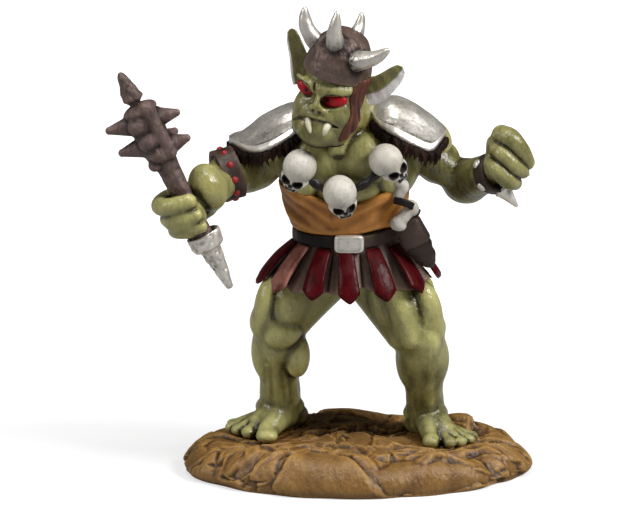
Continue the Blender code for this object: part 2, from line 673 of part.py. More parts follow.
def make_right_hand(frame, arm, shaft, collar):
    """Four fingers curled round the shaft, the back of the hand, and the thumb."""
    into_frame = frame.matrix_world.inverted()
    wrist = (into_frame @ point(RIGHT_WRIST)) / MM
    knuckle = math.atan2(wrist.y, wrist.x)
    muscles = [(wrist, 3.4, Vector((0, 0, GRIP_HEIGHT + 0.6)) + 0.45 * (wrist - Vector((0, 0, wrist.z))), 4.4)]
    for step in range(4):
        height = GRIP_HEIGHT + (step - 1.5) * FINGER_PITCH
        reach = SHAFT_RADIUS + FINGER_RADIUS
        bends = [knuckle + math.radians(turn) for turn in (30, 85, 140, 195, 240)]
        places = [(reach * math.cos(a), reach * math.sin(a), height) for a in bends]
        for start, end in zip(places, places[1:]):
            muscles.append((start, FINGER_RADIUS, end, FINGER_RADIUS))
    thumb = [knuckle + math.radians(turn) for turn in (-30, -80, -120)]
    places = [(3.7 * math.cos(a), 3.7 * math.sin(a), GRIP_HEIGHT + 3.0) for a in thumb]
    for start, end in zip(places, places[1:]):
        muscles.append((start, 1.6, end, 1.4))
    hand = flesh("right_hand", SKIN, muscles, 480, FINE_VOXEL, frame, 3)
    clear_of(hand, shaft, collar)
    local_wrist = wrist + (into_frame.to_3x3() @ Vector(RIGHT_WRIST_AXIS)) * GAP / 2
    away = -(into_frame.to_3x3() @ Vector(RIGHT_WRIST_AXIS))
    cut_in_frame(hand, frame, local_wrist, away)
    peg(arm, hand, RIGHT_WRIST, RIGHT_WRIST_AXIS, WRIST_PEG)
    return hand


def cut_in_frame(obj, frame, place, normal):
    """The plane cut of a piece that lies in a holder's frame."""
    world = frame.matrix_world
    cut_beyond(obj, (world @ point(place)) / MM, world.to_3x3() @ Vector(normal))


def make_left_hand(arm):
    hand = flesh("left_hand", SKIN, LEFT_FIST, 380, FINE_VOXEL, smoothing=3)
    cut_beyond(hand, Vector(LEFT_WRIST) + Vector(LEFT_WRIST_AXIS) * GAP / 2, -Vector(LEFT_WRIST_AXIS))
    peg(arm, hand, LEFT_WRIST, LEFT_WRIST_AXIS, WRIST_PEG)
    return hand


def make_head(frame, torso):
    head = flesh("head", SKIN, HEAD, 480, 0.4, frame)
    clear_of(head, torso)
    bm = bmesh.new()
    at = Matrix.Translation(point(HELMET_CENTRE)) @ Matrix.Diagonal((*HELMET_HALF, 1.0))
    bmesh.ops.create_uvsphere(bm, u_segments=20, v_segments=12, radius=MM, matrix=at)
    helmet = add_object("helmet", bm, HELMET, frame)
    cut_in_frame(helmet, frame, (0, 0, HELMET_BRIM), (0, 0, -1))
    clear_of(helmet, head)
    for name, places in HORNS.items():
        horn = tube(name, SILVER, places, HORN_RADII, 2, frame)
        clear_of(horn, helmet)
    for name, places in EARS.items():
        ear = tube(name, SKIN, places, EAR_RADII, 2, frame)
        flatten(ear, places, EAR_FLATNESS)
        clear_of(ear, head, helmet)
    for name, place in FANGS.items():
        bm = bmesh.new()
        rod(bm, place, (0, -0.1, -1), (FANG_SIZE[0], 0.15), FANG_SIZE[1], 8)
        clear_of(add_object(name, bm, IVORY, frame), head)
    make_strap(frame, head, helmet, torso)
    return head


def flatten(obj, places, share):
    """Thins a piece front to back about the line between its ends."""
    middle = (Vector(places[0]) + Vector(places[-1])).y / 2 * MM
    for vertex in obj.data.vertices:
        vertex.co.y = middle + (vertex.co.y - middle) * share


def make_strap(frame, head, helmet, torso):
    """A flat band from one cheek under the jaw to the other."""
    rings = []
    for index, place in enumerate(STRAP_PATH):
        before = Vector(STRAP_PATH[max(index - 1, 0)])
        after = Vector(STRAP_PATH[min(index + 1, len(STRAP_PATH) - 1)])
        along = (after - before).normalized()
        across = Vector((0, 1, 0))
        out = along.cross(across).normalized()
        corners = ((1, 1), (-1, 1), (-1, -1), (1, -1))
        rings.append([Vector(place) + out * STRAP_HALF[0] * a + across * STRAP_HALF[1] * b for a, b in corners])
    strap = loft("chin_strap", STRAP, rings, frame)
    clear_of(strap, head, helmet, torso)


def make_shoulders(torso, arms, head, bracelet):
    furs = []
    for (side, (place, roll)), arm in zip(PAULDRONS.items(), arms):
        turned = Euler((0, math.radians(roll), 0))
        low = holder(f"{side}_fur_frame", Vector(place) - Vector((0, 0, FUR_DROP)), turned)
        high = holder(f"{side}_pauldron_frame", place, turned)
        bpy.context.view_layer.update()
        fur = dome(f"{side}_fur_trim", FUR, FUR_HALF, FUR_HEM, low)
        clear_of(fur, torso, arm, head, bracelet, solver="MANIFOLD")
        plate = dome(f"{side}_pauldron", SILVER, PAULDRON_HALF, 0.0, high)
        clear_of(plate, fur, torso, arm, head, bracelet, gap=2 * GAP, solver="MANIFOLD")
        furs.append(fur)
    return furs


def make_necklace(torso, furs):
    cord = tube("necklace_cord", CORD, CORD_PATH, (CORD_RADIUS,) * len(CORD_PATH), 1)
    clear_of(cord, torso, *furs)
    skulls = []
    for name, (place, turns) in SKULLS.items():
        frame = holder(f"{name}_frame", place, Euler([math.radians(turn) for turn in turns]))
        bpy.context.view_layer.update()
        skull = flesh(name, BONE, SKULL, 140, FINE_VOXEL, frame, 3)
        for centre, radius in SOCKETS:
            bm = bmesh.new()
            at = Matrix.Translation(point(centre))
            bmesh.ops.create_icosphere(bm, subdivisions=1, radius=radius * MM, matrix=at)
            combine(skull, add_object("eye", bm, None, frame, CUTTERS), "DIFFERENCE")
        clear_of(skull, torso, cord)
        skulls.append(skull)
    return skulls


def make_waist(torso, skulls):
    low, high = SASH_BAND
    wrap = [ring((*HIP, low), (12.0, 9.6))]
    wrap.append(ring((HIP[0] - 0.2, HIP[1] - 0.4, (low + high) / 2), (12.6, 10.2)))
    wrap.append(ring((HIP[0] - 0.2, HIP[1] - 0.8, high), (13.8, 10.8)))
    sash = loft("waist_sash", OCHRE, wrap)
    bm = bmesh.new()
    rod(bm, (HIP[0], 40.0, 71.0), (0, -1, 0), (15.6, 15.6), 80.0, 40)
    combine(sash, add_object("neckline", bm, None, into=CUTTERS), "DIFFERENCE")
    clear_of(sash, torso, *skulls)

    belt = loft("belt", LEATHER, [ring((*HIP, z), BELT_HALF, 32) for z in BELT_BAND])
    hollow = [ring((*HIP, z), [h - 1.1 for h in BELT_HALF], 32) for z in (BELT_BAND[0] - 1, BELT_BAND[1] + 1)]
    combine(belt, loft("hollow", None, hollow, into=CUTTERS), "DIFFERENCE")
    clear_of(belt, torso)

    bm = bmesh.new()
    size = Matrix.Diagonal((5.6, 1.6, 3.4, 1.0))
    front = HIP[1] - BELT_HALF[1] - 0.6
    at = Matrix.Translation(point((HIP[0] + 0.1, front, 48.6)))
    bmesh.ops.create_cube(bm, size=MM, matrix=at @ size)
    buckle = add_object("belt_buckle", bm, SILVER)
    rounding = buckle.modifiers.new("rounding", "BEVEL")
    rounding.width = 0.35 * MM
    rounding.segments = 2
    bake(buckle)
    clear_of(buckle, belt)
    return sash, belt


def flap_outline():
    """Half the flap's width down its length: straight sides, then a blunt point."""
    half = FLAP_WIDTH / 2
    return ((0.0, half * 0.86), (0.55, half), (0.84, half * 0.94), (1.0, half * 0.12))


def make_flaps(skirt, legs):
    for number, degrees in enumerate(FLAP_ANGLES, 1):
        angle = math.radians(degrees)
        out = Vector((math.sin(angle), -math.cos(angle), 0))
        spread = [hem - top for hem, top in zip(SKIRT_HEM_HALF, SKIRT_TOP_HALF)]
        flare = math.atan2(math.hypot(out.x * spread[0], out.y * spread[1]) + 1.6, SKIRT_TOP - SKIRT_BOTTOM)
        across = Vector((math.cos(angle), math.sin(angle), 0))
        down = (out * math.sin(flare) - Vector((0, 0, 1)) * math.cos(flare)).normalized()
        face = across.cross(down).normalized()
        start = Vector((*HIP, SKIRT_TOP - 0.2))
        start += Vector((out.x * (SKIRT_TOP_HALF[0] + 1.3), out.y * (SKIRT_TOP_HALF[1] + 1.3), 0))
        rings = []
        for share, half in flap_outline():
            middle = start + down * FLAP_LENGTH * share
            sides = ((1, 1), (-1, 1), (-1, 0), (1, 0))
            rings.append([middle + across * half * a + face * FLAP_THICKNESS * b for a, b in sides])
        flap = loft(f"kilt_flap_{number:02d}", CRIMSON, rings)
        clear_of(flap, skirt, *legs)
        FLAPS.append(flap)


def make_hip_gear(torso, sash, belt, skirt, skulls):
    rings = [ring(centre, half, 16) for centre, half in POUCH_RINGS]
    pouch = loft("pouch", DARK_LEATHER, rings[::-1])
    clear_of(pouch, torso, sash, belt, skirt, *FLAPS)
    hung = []
    for name, (start, end, middle, knob) in BONES.items():
        line = Vector(end) - Vector(start)
        side = line.cross(Vector((0, 1, 0))).normalized() * knob * 0.55
        muscles = [(start, middle, end, middle)]
        for tip in (Vector(start), Vector(end)):
            muscles.append((tip - side, knob * 0.8, tip + side, knob * 0.8))
        bone = flesh(name, BONE, muscles, 130, FINE_VOXEL, smoothing=2)
        clear_of(bone, pouch, torso, sash, belt, *skulls, *hung)
        hung.append(bone)


def make_wrist_gear(arms, hands):
    centre, radius, width = BRACELET
    along = Vector((-0.5, -0.83, -0.08)).normalized()
    bm = bmesh.new()
    rod(bm, Vector(centre) - along * width / 2, along, (radius, radius), width, 24)
    bracelet = add_object("bracelet", bm, BROWN)
    side = along.cross(Vector((0, 0, 1))).normalized()
    up = side.cross(along)
    for step in range(BRACELET_STUDS):
        angle = 2 * math.pi * step / BRACELET_STUDS
        bm = bmesh.new()
        at = Vector(centre) + (side * math.cos(angle) + up * math.sin(angle)) * radius
        bmesh.ops.create_icosphere(bm, subdivisions=1, radius=0.85 * MM, matrix=Matrix.Translation(point(at)))
        combine(bracelet, add_object("stud", bm, None, into=CUTTERS), "UNION")
    clear_of(bracelet, arms[0], hands[0])

    centre, radius, width = BRACER
    along = Vector(LEFT_WRIST_AXIS).normalized()
    bm = bmesh.new()
    rod(bm, Vector(centre) - along * width / 2, along, (radius + 0.3, radius), width, 24)
    bracer = add_object("bracer", bm, DARK_LEATHER)
    clear_of(bracer, arms[1], hands[1])
    for name, (place, axis, length) in BRACER_SPIKES.items():
        bm = bmesh.new()
        rod(bm, place, axis, (1.7, 0.3), length, 12)
        clear_of(add_object(name, bm, SILVER), bracer, arms[1], hands[1], solver="MANIFOLD")
    return bracelet


def main():
    base = make_base()
    legs = make_legs(base)
    skirt = make_skirt(legs)
    torso = make_torso(skirt)
    arms = make_arms(torso)
    axis = Vector(MACE_TOP) - Vector(MACE_FOOT)
    mace_frame = holder("mace_frame", MACE_FOOT, axis.to_track_quat("Z", "Y").to_euler())
    bpy.context.view_layer.update()
    shaft, collar = make_mace(mace_frame)
    hands = [make_right_hand(mace_frame, arms[0], shaft, collar), make_left_hand(arms[1])]
    turns = Euler([math.radians(a) for a in (HEAD_PITCH, HEAD_ROLL, HEAD_YAW)], "XZY")
    head_frame = holder("head_frame", HEAD_CENTRE, turns)
    bpy.context.view_layer.update()
    head = make_head(head_frame, torso)
    bracelet = make_wrist_gear(arms, hands)
    furs = make_shoulders(torso, arms, head, bracelet)
    skulls = make_necklace(torso, furs)
    sash, belt = make_waist(torso, skulls)
    make_flaps(skirt, legs)
    make_hip_gear(torso, sash, belt, skirt, skulls)
    finish_shading()


clear_scene()
PARTS = collection("ogre_figure")
CUTTERS = collection("cutters")
FLAPS = []
SKIN = paint("olive_skin", (0.25, 0.25, 0.10), 0.5)
EARTH = paint("earth", (0.26, 0.14, 0.06), 0.7)
DUN = paint("dun_cloth", (0.19, 0.14, 0.10), 0.6)
CRIMSON = paint("crimson", (0.15, 0.006, 0.01), 0.4)
OCHRE = paint("ochre", (0.37, 0.17, 0.04), 0.55)
LEATHER = paint("black_leather", (0.015, 0.012, 0.01), 0.45)
DARK_LEATHER = paint("brown_leather", (0.04, 0.02, 0.013), 0.5)
BROWN = paint("bracelet_brown", (0.08, 0.045, 0.03), 0.5)
STRAP = paint("strap_brown", (0.11, 0.03, 0.016), 0.5)
SILVER = paint("silver_paint", (0.45, 0.45, 0.43), 0.35, 0.8)
IRON = paint("iron_paint", (0.10, 0.075, 0.072), 0.45, 0.3)
HELMET = paint("helmet_paint", (0.15, 0.11, 0.10), 0.45, 0.2)
FUR = paint("fur", (0.03, 0.015, 0.008), 0.8)
IVORY = paint("ivory", (0.72, 0.70, 0.55), 0.4)
BONE = paint("bone", (0.66, 0.64, 0.58), 0.5)
CORD = paint("cord", (0.01, 0.009, 0.008), 0.6)
main()
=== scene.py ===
"""Looks of a painted tabletop figure: an ogre warrior with a spiked mace, standing on a rocky base.

Lengths in this file are millimetres and angles degrees, and MM turns them into metres where a mesh is
written. The frame is the figure's own: +Z up, the figure faces -Y, its right hand is towards -X, and the
origin is the middle of the base's underside.
"""

import math

import bmesh
import bpy
import numpy as np
from bpy.props import FloatProperty, FloatVectorProperty, IntProperty, PointerProperty
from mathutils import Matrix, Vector


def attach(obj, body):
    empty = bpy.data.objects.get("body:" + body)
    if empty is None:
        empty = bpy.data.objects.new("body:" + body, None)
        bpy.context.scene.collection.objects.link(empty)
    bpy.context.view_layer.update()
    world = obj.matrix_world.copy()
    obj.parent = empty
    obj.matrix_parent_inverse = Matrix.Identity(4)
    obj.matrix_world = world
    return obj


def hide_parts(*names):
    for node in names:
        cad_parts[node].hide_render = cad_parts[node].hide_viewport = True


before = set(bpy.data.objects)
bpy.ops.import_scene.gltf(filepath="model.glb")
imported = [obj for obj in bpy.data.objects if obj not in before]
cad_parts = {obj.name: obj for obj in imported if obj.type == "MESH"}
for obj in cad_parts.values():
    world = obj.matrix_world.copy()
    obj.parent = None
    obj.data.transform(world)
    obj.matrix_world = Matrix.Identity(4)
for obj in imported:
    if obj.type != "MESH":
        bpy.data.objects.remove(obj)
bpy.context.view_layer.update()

bl_info = {
    "name": "Painted ogre figure",
    "version": (1, 0, 0),
    "blender": (4, 5, 0),
    "location": "View3D > Sidebar > Figure",
    "description": "Dresses the glued pieces of a painted ogre figure with sculpted and painted surfaces",
    "category": "Object",
}

MM = 0.001
BODY = "root"


# Vectors, turns and seats

def unit(vectors):
    """Vectors drawn to a length of 1."""
    return vectors / np.maximum(np.linalg.norm(vectors, axis=-1, keepdims=True), 1e-9)


def xyz(x, y, z):
    """Points from their three coordinates, spread to one shape."""
    return np.stack(np.broadcast_arrays(x, y, z), axis=-1)


def turns(count, start=0.0):
    """Even angles once round."""
    return np.linspace(start, start + 2 * np.pi, count, endpoint=False)


def bell(away, width):
    """A bell curve: 1 in the middle, falling off over a width."""
    return np.exp(-((away / width) ** 2))


def squared(angle, power):
    """The cosine and sine of a circle drawn out towards a square: each keeps its sign and is raised to
    a power."""
    c, s = np.cos(angle), np.sin(angle)
    return np.sign(c) * np.abs(c) ** power, np.sign(s) * np.abs(s) ** power


def turned(axis, degrees):
    """The matrix that turns points about one axis."""
    c, s = math.cos(math.radians(degrees)), math.sin(math.radians(degrees))
    first, second = {"x": (1, 2), "y": (2, 0), "z": (0, 1)}[axis]
    matrix = np.eye(3)
    matrix[first, first] = matrix[second, second] = c
    matrix[second, first], matrix[first, second] = s, -s
    return matrix


class Seat:
    """A place and a turn that a group of forms shares."""

    def __init__(self, place, matrix):
        self.place = np.array(place, float)
        self.matrix = matrix

    def world(self, points):
        return np.asarray(points, float) @ self.matrix.T + self.place

    def local(self, points):
        return (np.asarray(points, float) - self.place) @ self.matrix


MIRROR = Seat((0.0, 0.0, 0.0), np.diag((-1.0, 1.0, 1.0)))
HEAD_SEAT = Seat((-4.8, -6.0, 80.4), turned("y", 14) @ turned("z", -22) @ turned("x", 4))
MACE_FOOT = np.array((-25.0, -12.0, 41.0))
MACE_TOP = np.array((-47.1, -12.0, 85.6))
MACE_AXIS = unit(MACE_TOP - MACE_FOOT)
MACE_SIDE = np.array((MACE_AXIS[2], 0.0, -MACE_AXIS[0]))
MACE_SEAT = Seat(MACE_FOOT, np.stack((MACE_SIDE, (0.0, 1.0, 0.0), MACE_AXIS), axis=1))
SKULL_SEATS = {
    "skull_right": Seat((-11.5, -8.9, 64.4), turned("y", 22) @ turned("z", -14) @ turned("x", 32)),
    "skull_middle": Seat((-3.1, -10.2, 59.4), turned("y", -13) @ turned("z", 8) @ turned("x", 34)),
    "skull_left": Seat((6.4, -8.9, 65.7), turned("y", -38) @ turned("z", 24) @ turned("x", 26)),
}


# Forms that grow together into flesh and bone

class Rod:
    """A tapered capsule: the distance to the nearest point of a line, less a radius that runs evenly
    along it."""

    def __init__(self, start, start_radius, end, end_radius, blend=0.5, cut=False):
        self.start, self.end = np.array(start, float), np.array(end, float)
        self.radii = (start_radius, end_radius)
        self.blend, self.cut = blend, cut

    def distance(self, points):
        line = self.end - self.start
        away = points - self.start
        share = np.clip(away @ line / max(line @ line, 1e-9), 0, 1)
        gap = np.linalg.norm(away - share[:, None] * line, axis=1)
        return gap - self.radii[0] - share * (self.radii[1] - self.radii[0])

    def box(self):
        low = np.minimum(self.start - self.radii[0], self.end - self.radii[1])
        return low, np.maximum(self.start + self.radii[0], self.end + self.radii[1])

    def seated(self, seat):
        start, end = seat.world((self.start, self.end))
        return Rod(start, self.radii[0], end, self.radii[1], self.blend, self.cut)


class Egg:
    """An ellipsoid turned in place: points are squeezed by its half sizes, and the ball's distance is
    scaled back."""

    def __init__(self, centre, half, blend=0.5, turn=None, cut=False):
        self.centre, self.half = np.array(centre, float), np.array(half, float)
        self.turn = np.eye(3) if turn is None else turn
        self.blend, self.cut = blend, cut

    def distance(self, points):
        local = (points - self.centre) @ self.turn / self.half
        size = np.linalg.norm(local, axis=1)
        return size * (size - 1) / np.maximum(np.linalg.norm(local / self.half, axis=1), 1e-6)

    def box(self):
        reach = self.half.max()
        return self.centre - reach, self.centre + reach

    def seated(self, seat):
        return Egg(seat.world(self.centre), self.half, self.blend, seat.matrix @ self.turn, self.cut)


class Bend:
    """A bent capsule: the distance to the nearest of some tapered capsules laid end to end."""

    def __init__(self, rods, blend=0.5, cut=False):
        self.rods, self.blend, self.cut = rods, blend, cut

    def distance(self, points):
        return np.min([rod.distance(points) for rod in self.rods], axis=0)

    def box(self):
        boxes = [rod.box() for rod in self.rods]
        return np.min([box[0] for box in boxes], axis=0), np.max([box[1] for box in boxes], axis=0)

    def seated(self, seat):
        return Bend(seated(self.rods, seat), self.blend, self.cut)


def bent(knots, radii, blend=0.5, cut=False, count=10):
    """A bent capsule along the smooth curve through knots, its radius running evenly through the given
    ones."""
    path = along(knots, count)
    sizes = np.interp(np.linspace(0, 1, count), np.linspace(0, 1, len(radii)), radii)
    return Bend([Rod(*ends) for ends in zip(path, sizes, path[1:], sizes[1:])], blend, cut)


def seated(forms, seat):
    """Forms carried to a seat."""
    return [form.seated(seat) for form in forms]


def both_sides(forms):
    """Forms and their mirror images across the middle."""
    return [*forms, *seated(forms, MIRROR)]


def grown(points, forms):
    """Distance to the forms grown together.

    Each form joins the ones before it by a smooth minimum, which rounds their crease over the form's
    own blend width. A cutting form is taken away by the smooth maximum in the same way.
    """
    total = np.full(len(points), 1e3)
    for form in forms:
        found = -form.distance(points) if form.cut else form.distance(points)
        sign = -1 if form.cut else 1
        share = np.clip(0.5 + 0.5 * sign * (total - found) / form.blend, 0, 1)
        total = total + (found - total) * share - sign * form.blend * share * (1 - share)
    return total


def lattice(low, step, counts):
    """Points at even steps along the three axes."""
    axes = [low[i] + step * np.arange(counts[i]) for i in range(3)]
    return np.stack(np.meshgrid(*axes, indexing="ij"), axis=-1).reshape(-1, 3)


def sampled(forms, step):
    """The grown distance on a lattice. Only the blocks that the surface may pass through are worked out
    in full."""
    boxes = [form.box() for form in forms if not form.cut]
    low = np.min([box[0] for box in boxes], axis=0) - 3 * step
    high = np.max([box[1] for box in boxes], axis=0) + 3 * step
    block = 4
    blocks = np.ceil((high - low) / (block * step)).astype(int) + 1
    middle = lattice(low + step * (block - 1) / 2, block * step, blocks)
    rough = grown(middle, forms).reshape(blocks)
    values = rough
    for axis in range(3):
        values = values.repeat(block, axis)
    counts = values.shape
    values = values.reshape(-1).copy()
    near = np.abs(values) < 1.6 * block * step
    values[near] = grown(lattice(low, step, counts)[near], forms)
    return values.reshape(counts), low


def net(values, low, step):
    """A net over the zero of a lattice: one point in every cell that the surface crosses, in the middle
    of its crossings, and one quad round every lattice edge that it crosses."""
    inside = values < 0
    cells = tuple(n - 1 for n in values.shape)
    corners = [np.array((i, j, k)) for i in (0, 1) for j in (0, 1) for k in (0, 1)]
    blocks = [tuple(slice(c, c + n) for c, n in zip(corner, cells)) for corner in corners]
    filled = sum(inside[block].astype(int) for block in blocks)
    crossed = (filled > 0) & (filled < 8)
    number = np.full(cells, -1)
    number[crossed] = np.arange(crossed.sum())
    cell = np.argwhere(crossed)
    total, hits = np.zeros((len(cell), 3)), np.zeros(len(cell))
    for a in corners:
        for axis in range(3):
            if a[axis]:
                continue
            b = a.copy()
            b[axis] = 1
            first, second = values[tuple((cell + a).T)], values[tuple((cell + b).T)]
            meets = (first < 0) != (second < 0)
            share = np.where(meets, first / np.where(meets, first - second, 1), 0)
            total += meets[:, None] * (a + share[:, None] * (b - a))
            hits += meets
    points = low + step * (cell + total / hits[:, None])
    quads = []
    for axis in range(3):
        u, v = (axis + 1) % 3, (axis + 2) % 3
        here = [slice(1, -1)] * 3
        there = [slice(1, -1)] * 3
        here[axis], there[axis] = slice(0, -1), slice(1, None)
        starts, ends = inside[tuple(here)], inside[tuple(there)]
        edge = np.argwhere(starts != ends) + np.array([0 if i == axis else 1 for i in range(3)])
        outward = starts[starts != ends]
        ring = []
        for du, dv in ((1, 1), (0, 1), (0, 0), (1, 0)):
            at = edge.copy()
            at[:, u] -= du
            at[:, v] -= dv
            ring.append(number[tuple(at.T)])
        ring = np.stack(ring, axis=1)
        quads.append(np.where(outward[:, None], ring, ring[:, ::-1]))
    return points, np.concatenate(quads)


def skin(forms, step):
    """The net over grown forms, drawn onto the true surface: each point slides down the distance's
    slope."""
    values, low = sampled(forms, step)
    points, quads = net(values, low, step)
    reach = 0.3 * step
    for _ in range(2):
        here = grown(points, forms)
        slope = np.stack([grown(points + reach * axis, forms) - here for axis in np.eye(3)], axis=1) / reach
        points = points - slope * (here / np.maximum((slope**2).sum(1), 0.05))[:, None]
    return points, quads


def field_relief(points, normals, forms):
    """Broad hollows and swellings of grown forms, from 0 to 1. A step straight out from a flat surface
    gains that step in distance: in a hollow it gains less, and a step into a swelling goes less deep."""
    # Painted shade in the manner of ambient occlusion: the hollow measure darkens the paint along with the
    # wash. The swelling measure lightens it along with the dry-brushed paint, as a painted highlight.
    hollow, swelling = 0.0, 0.0
    for step, weight in ((0.8, 0.7), (2.2, 0.9)):
        hollow = hollow + weight * (1 - grown(points + step * normals, forms) / step)
        swelling = swelling + weight * (1 + grown(points - step * normals, forms) / step)
    return np.clip(1.3 * hollow - 0.08, 0, 1), np.clip(swelling - 0.1, 0, 1)


# Surfaces on a grid of two parameters

def grid_quads(rows, columns):
    """Quads between neighbours of a grid whose columns close on themselves."""
    row = np.arange(rows - 1)[:, None]
    column = np.arange(columns)[None, :]
    beside = (column + 1) % columns
    here, below = row * columns, (row + 1) * columns
    corners = (here + column, here + beside, below + beside, below + column)
    return np.stack(np.broadcast_arrays(*corners), axis=-1).reshape(-1, 4)


def closed_tube(rings):
    """A surface through rings, shape (rows, columns, 3), closed by a point in the middle of each end
    ring."""
    rows, columns = rings.shape[:2]
    points = np.concatenate((rings.reshape(-1, 3), rings[:1].mean(1), rings[-1:].mean(1)))
    around = np.arange(columns)
    ahead = (around + 1) % columns
    last = (rows - 1) * columns
    first_fan = np.stack((ahead, around, np.full(columns, rows * columns)), axis=1)
    last_fan = np.stack((last + around, last + ahead, np.full(columns, rows * columns + 1)), axis=1)
    return points, [grid_quads(rows, columns), first_fan, last_fan]


def closed_ring(profile_rings):
    """A surface whose rows close on themselves as its columns do: shape (rows, columns, 3)."""
    rows, columns = profile_rings.shape[:2]
    again = np.concatenate((np.arange(rows * columns), np.arange(columns)))
    return profile_rings.reshape(-1, 3), [again[grid_quads(rows + 1, columns)]]


def along(knots, count):
    """Points at even steps on the smooth curve through knots: each stretch is a cubic that leaves and
    reaches its knots in the direction of their neighbours."""
    knots = np.asarray(knots, float)
    padded = np.concatenate((2 * knots[:1] - knots[1:2], knots, 2 * knots[-1:] - knots[-2:-1]))
    place = np.linspace(0, len(knots) - 1 - 1e-9, count)
    index = place.astype(int)
    t = (place - index)[:, None]
    a, b, c, d = (padded[index + i] for i in range(4))
    return 0.5 * (2 * b + (c - a) * t + (2 * a - 5 * b + 4 * c - d) * t**2 + (3 * b - a - 3 * c + d) * t**3)


def sweep(path, widths, heights, across, sides, power=2.0):
    """Rings carried along a path: each is a rounded oval, as wide as its row says across and as high as
    it says in the other direction. A power over 2 makes the oval squarer."""
    ahead = unit(np.gradient(path, axis=0))
    across = np.broadcast_to(np.asarray(across, float), path.shape)
    side = unit(across - (across * ahead).sum(1, keepdims=True) * ahead)
    rise = np.cross(ahead, side)
    c, s = squared(turns(sides), 2 / power)
    wide = np.asarray(widths)[:, None, None] * c[None, :, None] * side[:, None]
    high = np.asarray(heights)[:, None, None] * s[None, :, None] * rise[:, None]
    return path[:, None] + wide + high


def turned_rings(profile, sides, count):
    """Rings of a turned shape: a curve through (radius, height) pairs, its radius the same all round."""
    profile = along(profile, count)
    angle = turns(sides)
    r, z = profile[:, :1], profile[:, 1:2]
    return xyz(r * np.cos(angle), r * np.sin(angle), z)


NOISE_TABLE = np.random.RandomState(7).rand(4096)


def noise(points, scale):
    """Smooth random hills from 0 to 1: values at the corners of a lattice, eased from corner to corner."""
    place = np.asarray(points, float) * scale
    cell = np.floor(place).astype(np.int64)
    t = place - cell
    t = t * t * (3 - 2 * t)
    total = 0.0
    for i in (0, 1):
        for j in (0, 1):
            for k in (0, 1):
                x, y, z = cell[..., 0] + i, cell[..., 1] + j, cell[..., 2] + k
                value = NOISE_TABLE[(x * 73856093 ^ y * 19349663 ^ z * 83492791) & 4095]
                weight = np.abs(1 - i - t[..., 0]) * np.abs(1 - j - t[..., 1]) * np.abs(1 - k - t[..., 2])
                total = total + weight * value
    return total


def lumps(points, scale):
    """The same hills, from half below to half above."""
    return noise(points, scale) - 0.5


def drift(points, scale, shifts):
    """A way for each point to wander: the lumps at the point itself, moved aside once for each
    coordinate."""
    return np.stack([lumps(points + shift, scale) for shift in shifts], axis=-1)


def ridged(points, scale, octaves):
    """Noise folded at its middle into sharp crests, in finer and lower layers."""
    total, height = 0.0, 1.0
    for octave in range(octaves):
        total = total + height * (1 - np.abs(2 * noise(points, scale * 2**octave) - 1))
        height *= 0.5
    return total / (2 - 2 * 0.5**octaves)


# Meshes and pieces

def write_mesh(name, points, faces):
    """A mesh from points in millimetres and arrays of quads and triangles, its faces pointing out."""
    faces = faces if isinstance(faces, list) else [faces]
    mesh = bpy.data.meshes.new(name)
    mesh.vertices.add(len(points))
    mesh.vertices.foreach_set("co", (np.asarray(points) * MM).astype(np.float32).ravel())
    corners = np.concatenate([block.ravel() for block in faces]).astype(np.int32)
    totals = np.concatenate([np.full(len(block), block.shape[1]) for block in faces]).astype(np.int32)
    mesh.loops.add(len(corners))
    mesh.loops.foreach_set("vertex_index", corners)
    mesh.polygons.add(len(totals))
    mesh.polygons.foreach_set("loop_start", np.concatenate(([0], np.cumsum(totals)[:-1])).astype(np.int32))
    mesh.polygons.foreach_set("loop_total", totals)
    mesh.update(calc_edges=True)
    bm = bmesh.new()
    bm.from_mesh(mesh)
    bmesh.ops.recalc_face_normals(bm, faces=bm.faces)
    bm.to_mesh(mesh)
    bm.free()
    mesh.shade_smooth()
    return mesh


def read_mesh(mesh):
    """A mesh's points in millimetres, their normals and the pairs of points that edges join."""
    points = np.empty(3 * len(mesh.vertices), np.float32)
    mesh.vertices.foreach_get("co", points)
    normals = np.empty_like(points)
    mesh.vertices.foreach_get("normal", normals)
    edges = np.empty(2 * len(mesh.edges), np.int32)
    mesh.edges.foreach_get("vertices", edges)
    return points.reshape(-1, 3) / MM, normals.reshape(-1, 3), edges.reshape(-1, 2)


def mark(mesh, name, values):
    """Writes one value for each point, which paints can read by its name."""
    attribute = mesh.attributes.new(name, "FLOAT", "POINT")
    attribute.data.foreach_set("value", np.asarray(values, np.float32))


FINE_RELIEF, BROAD_RELIEF = (8, 0.05), (40, 0.3)


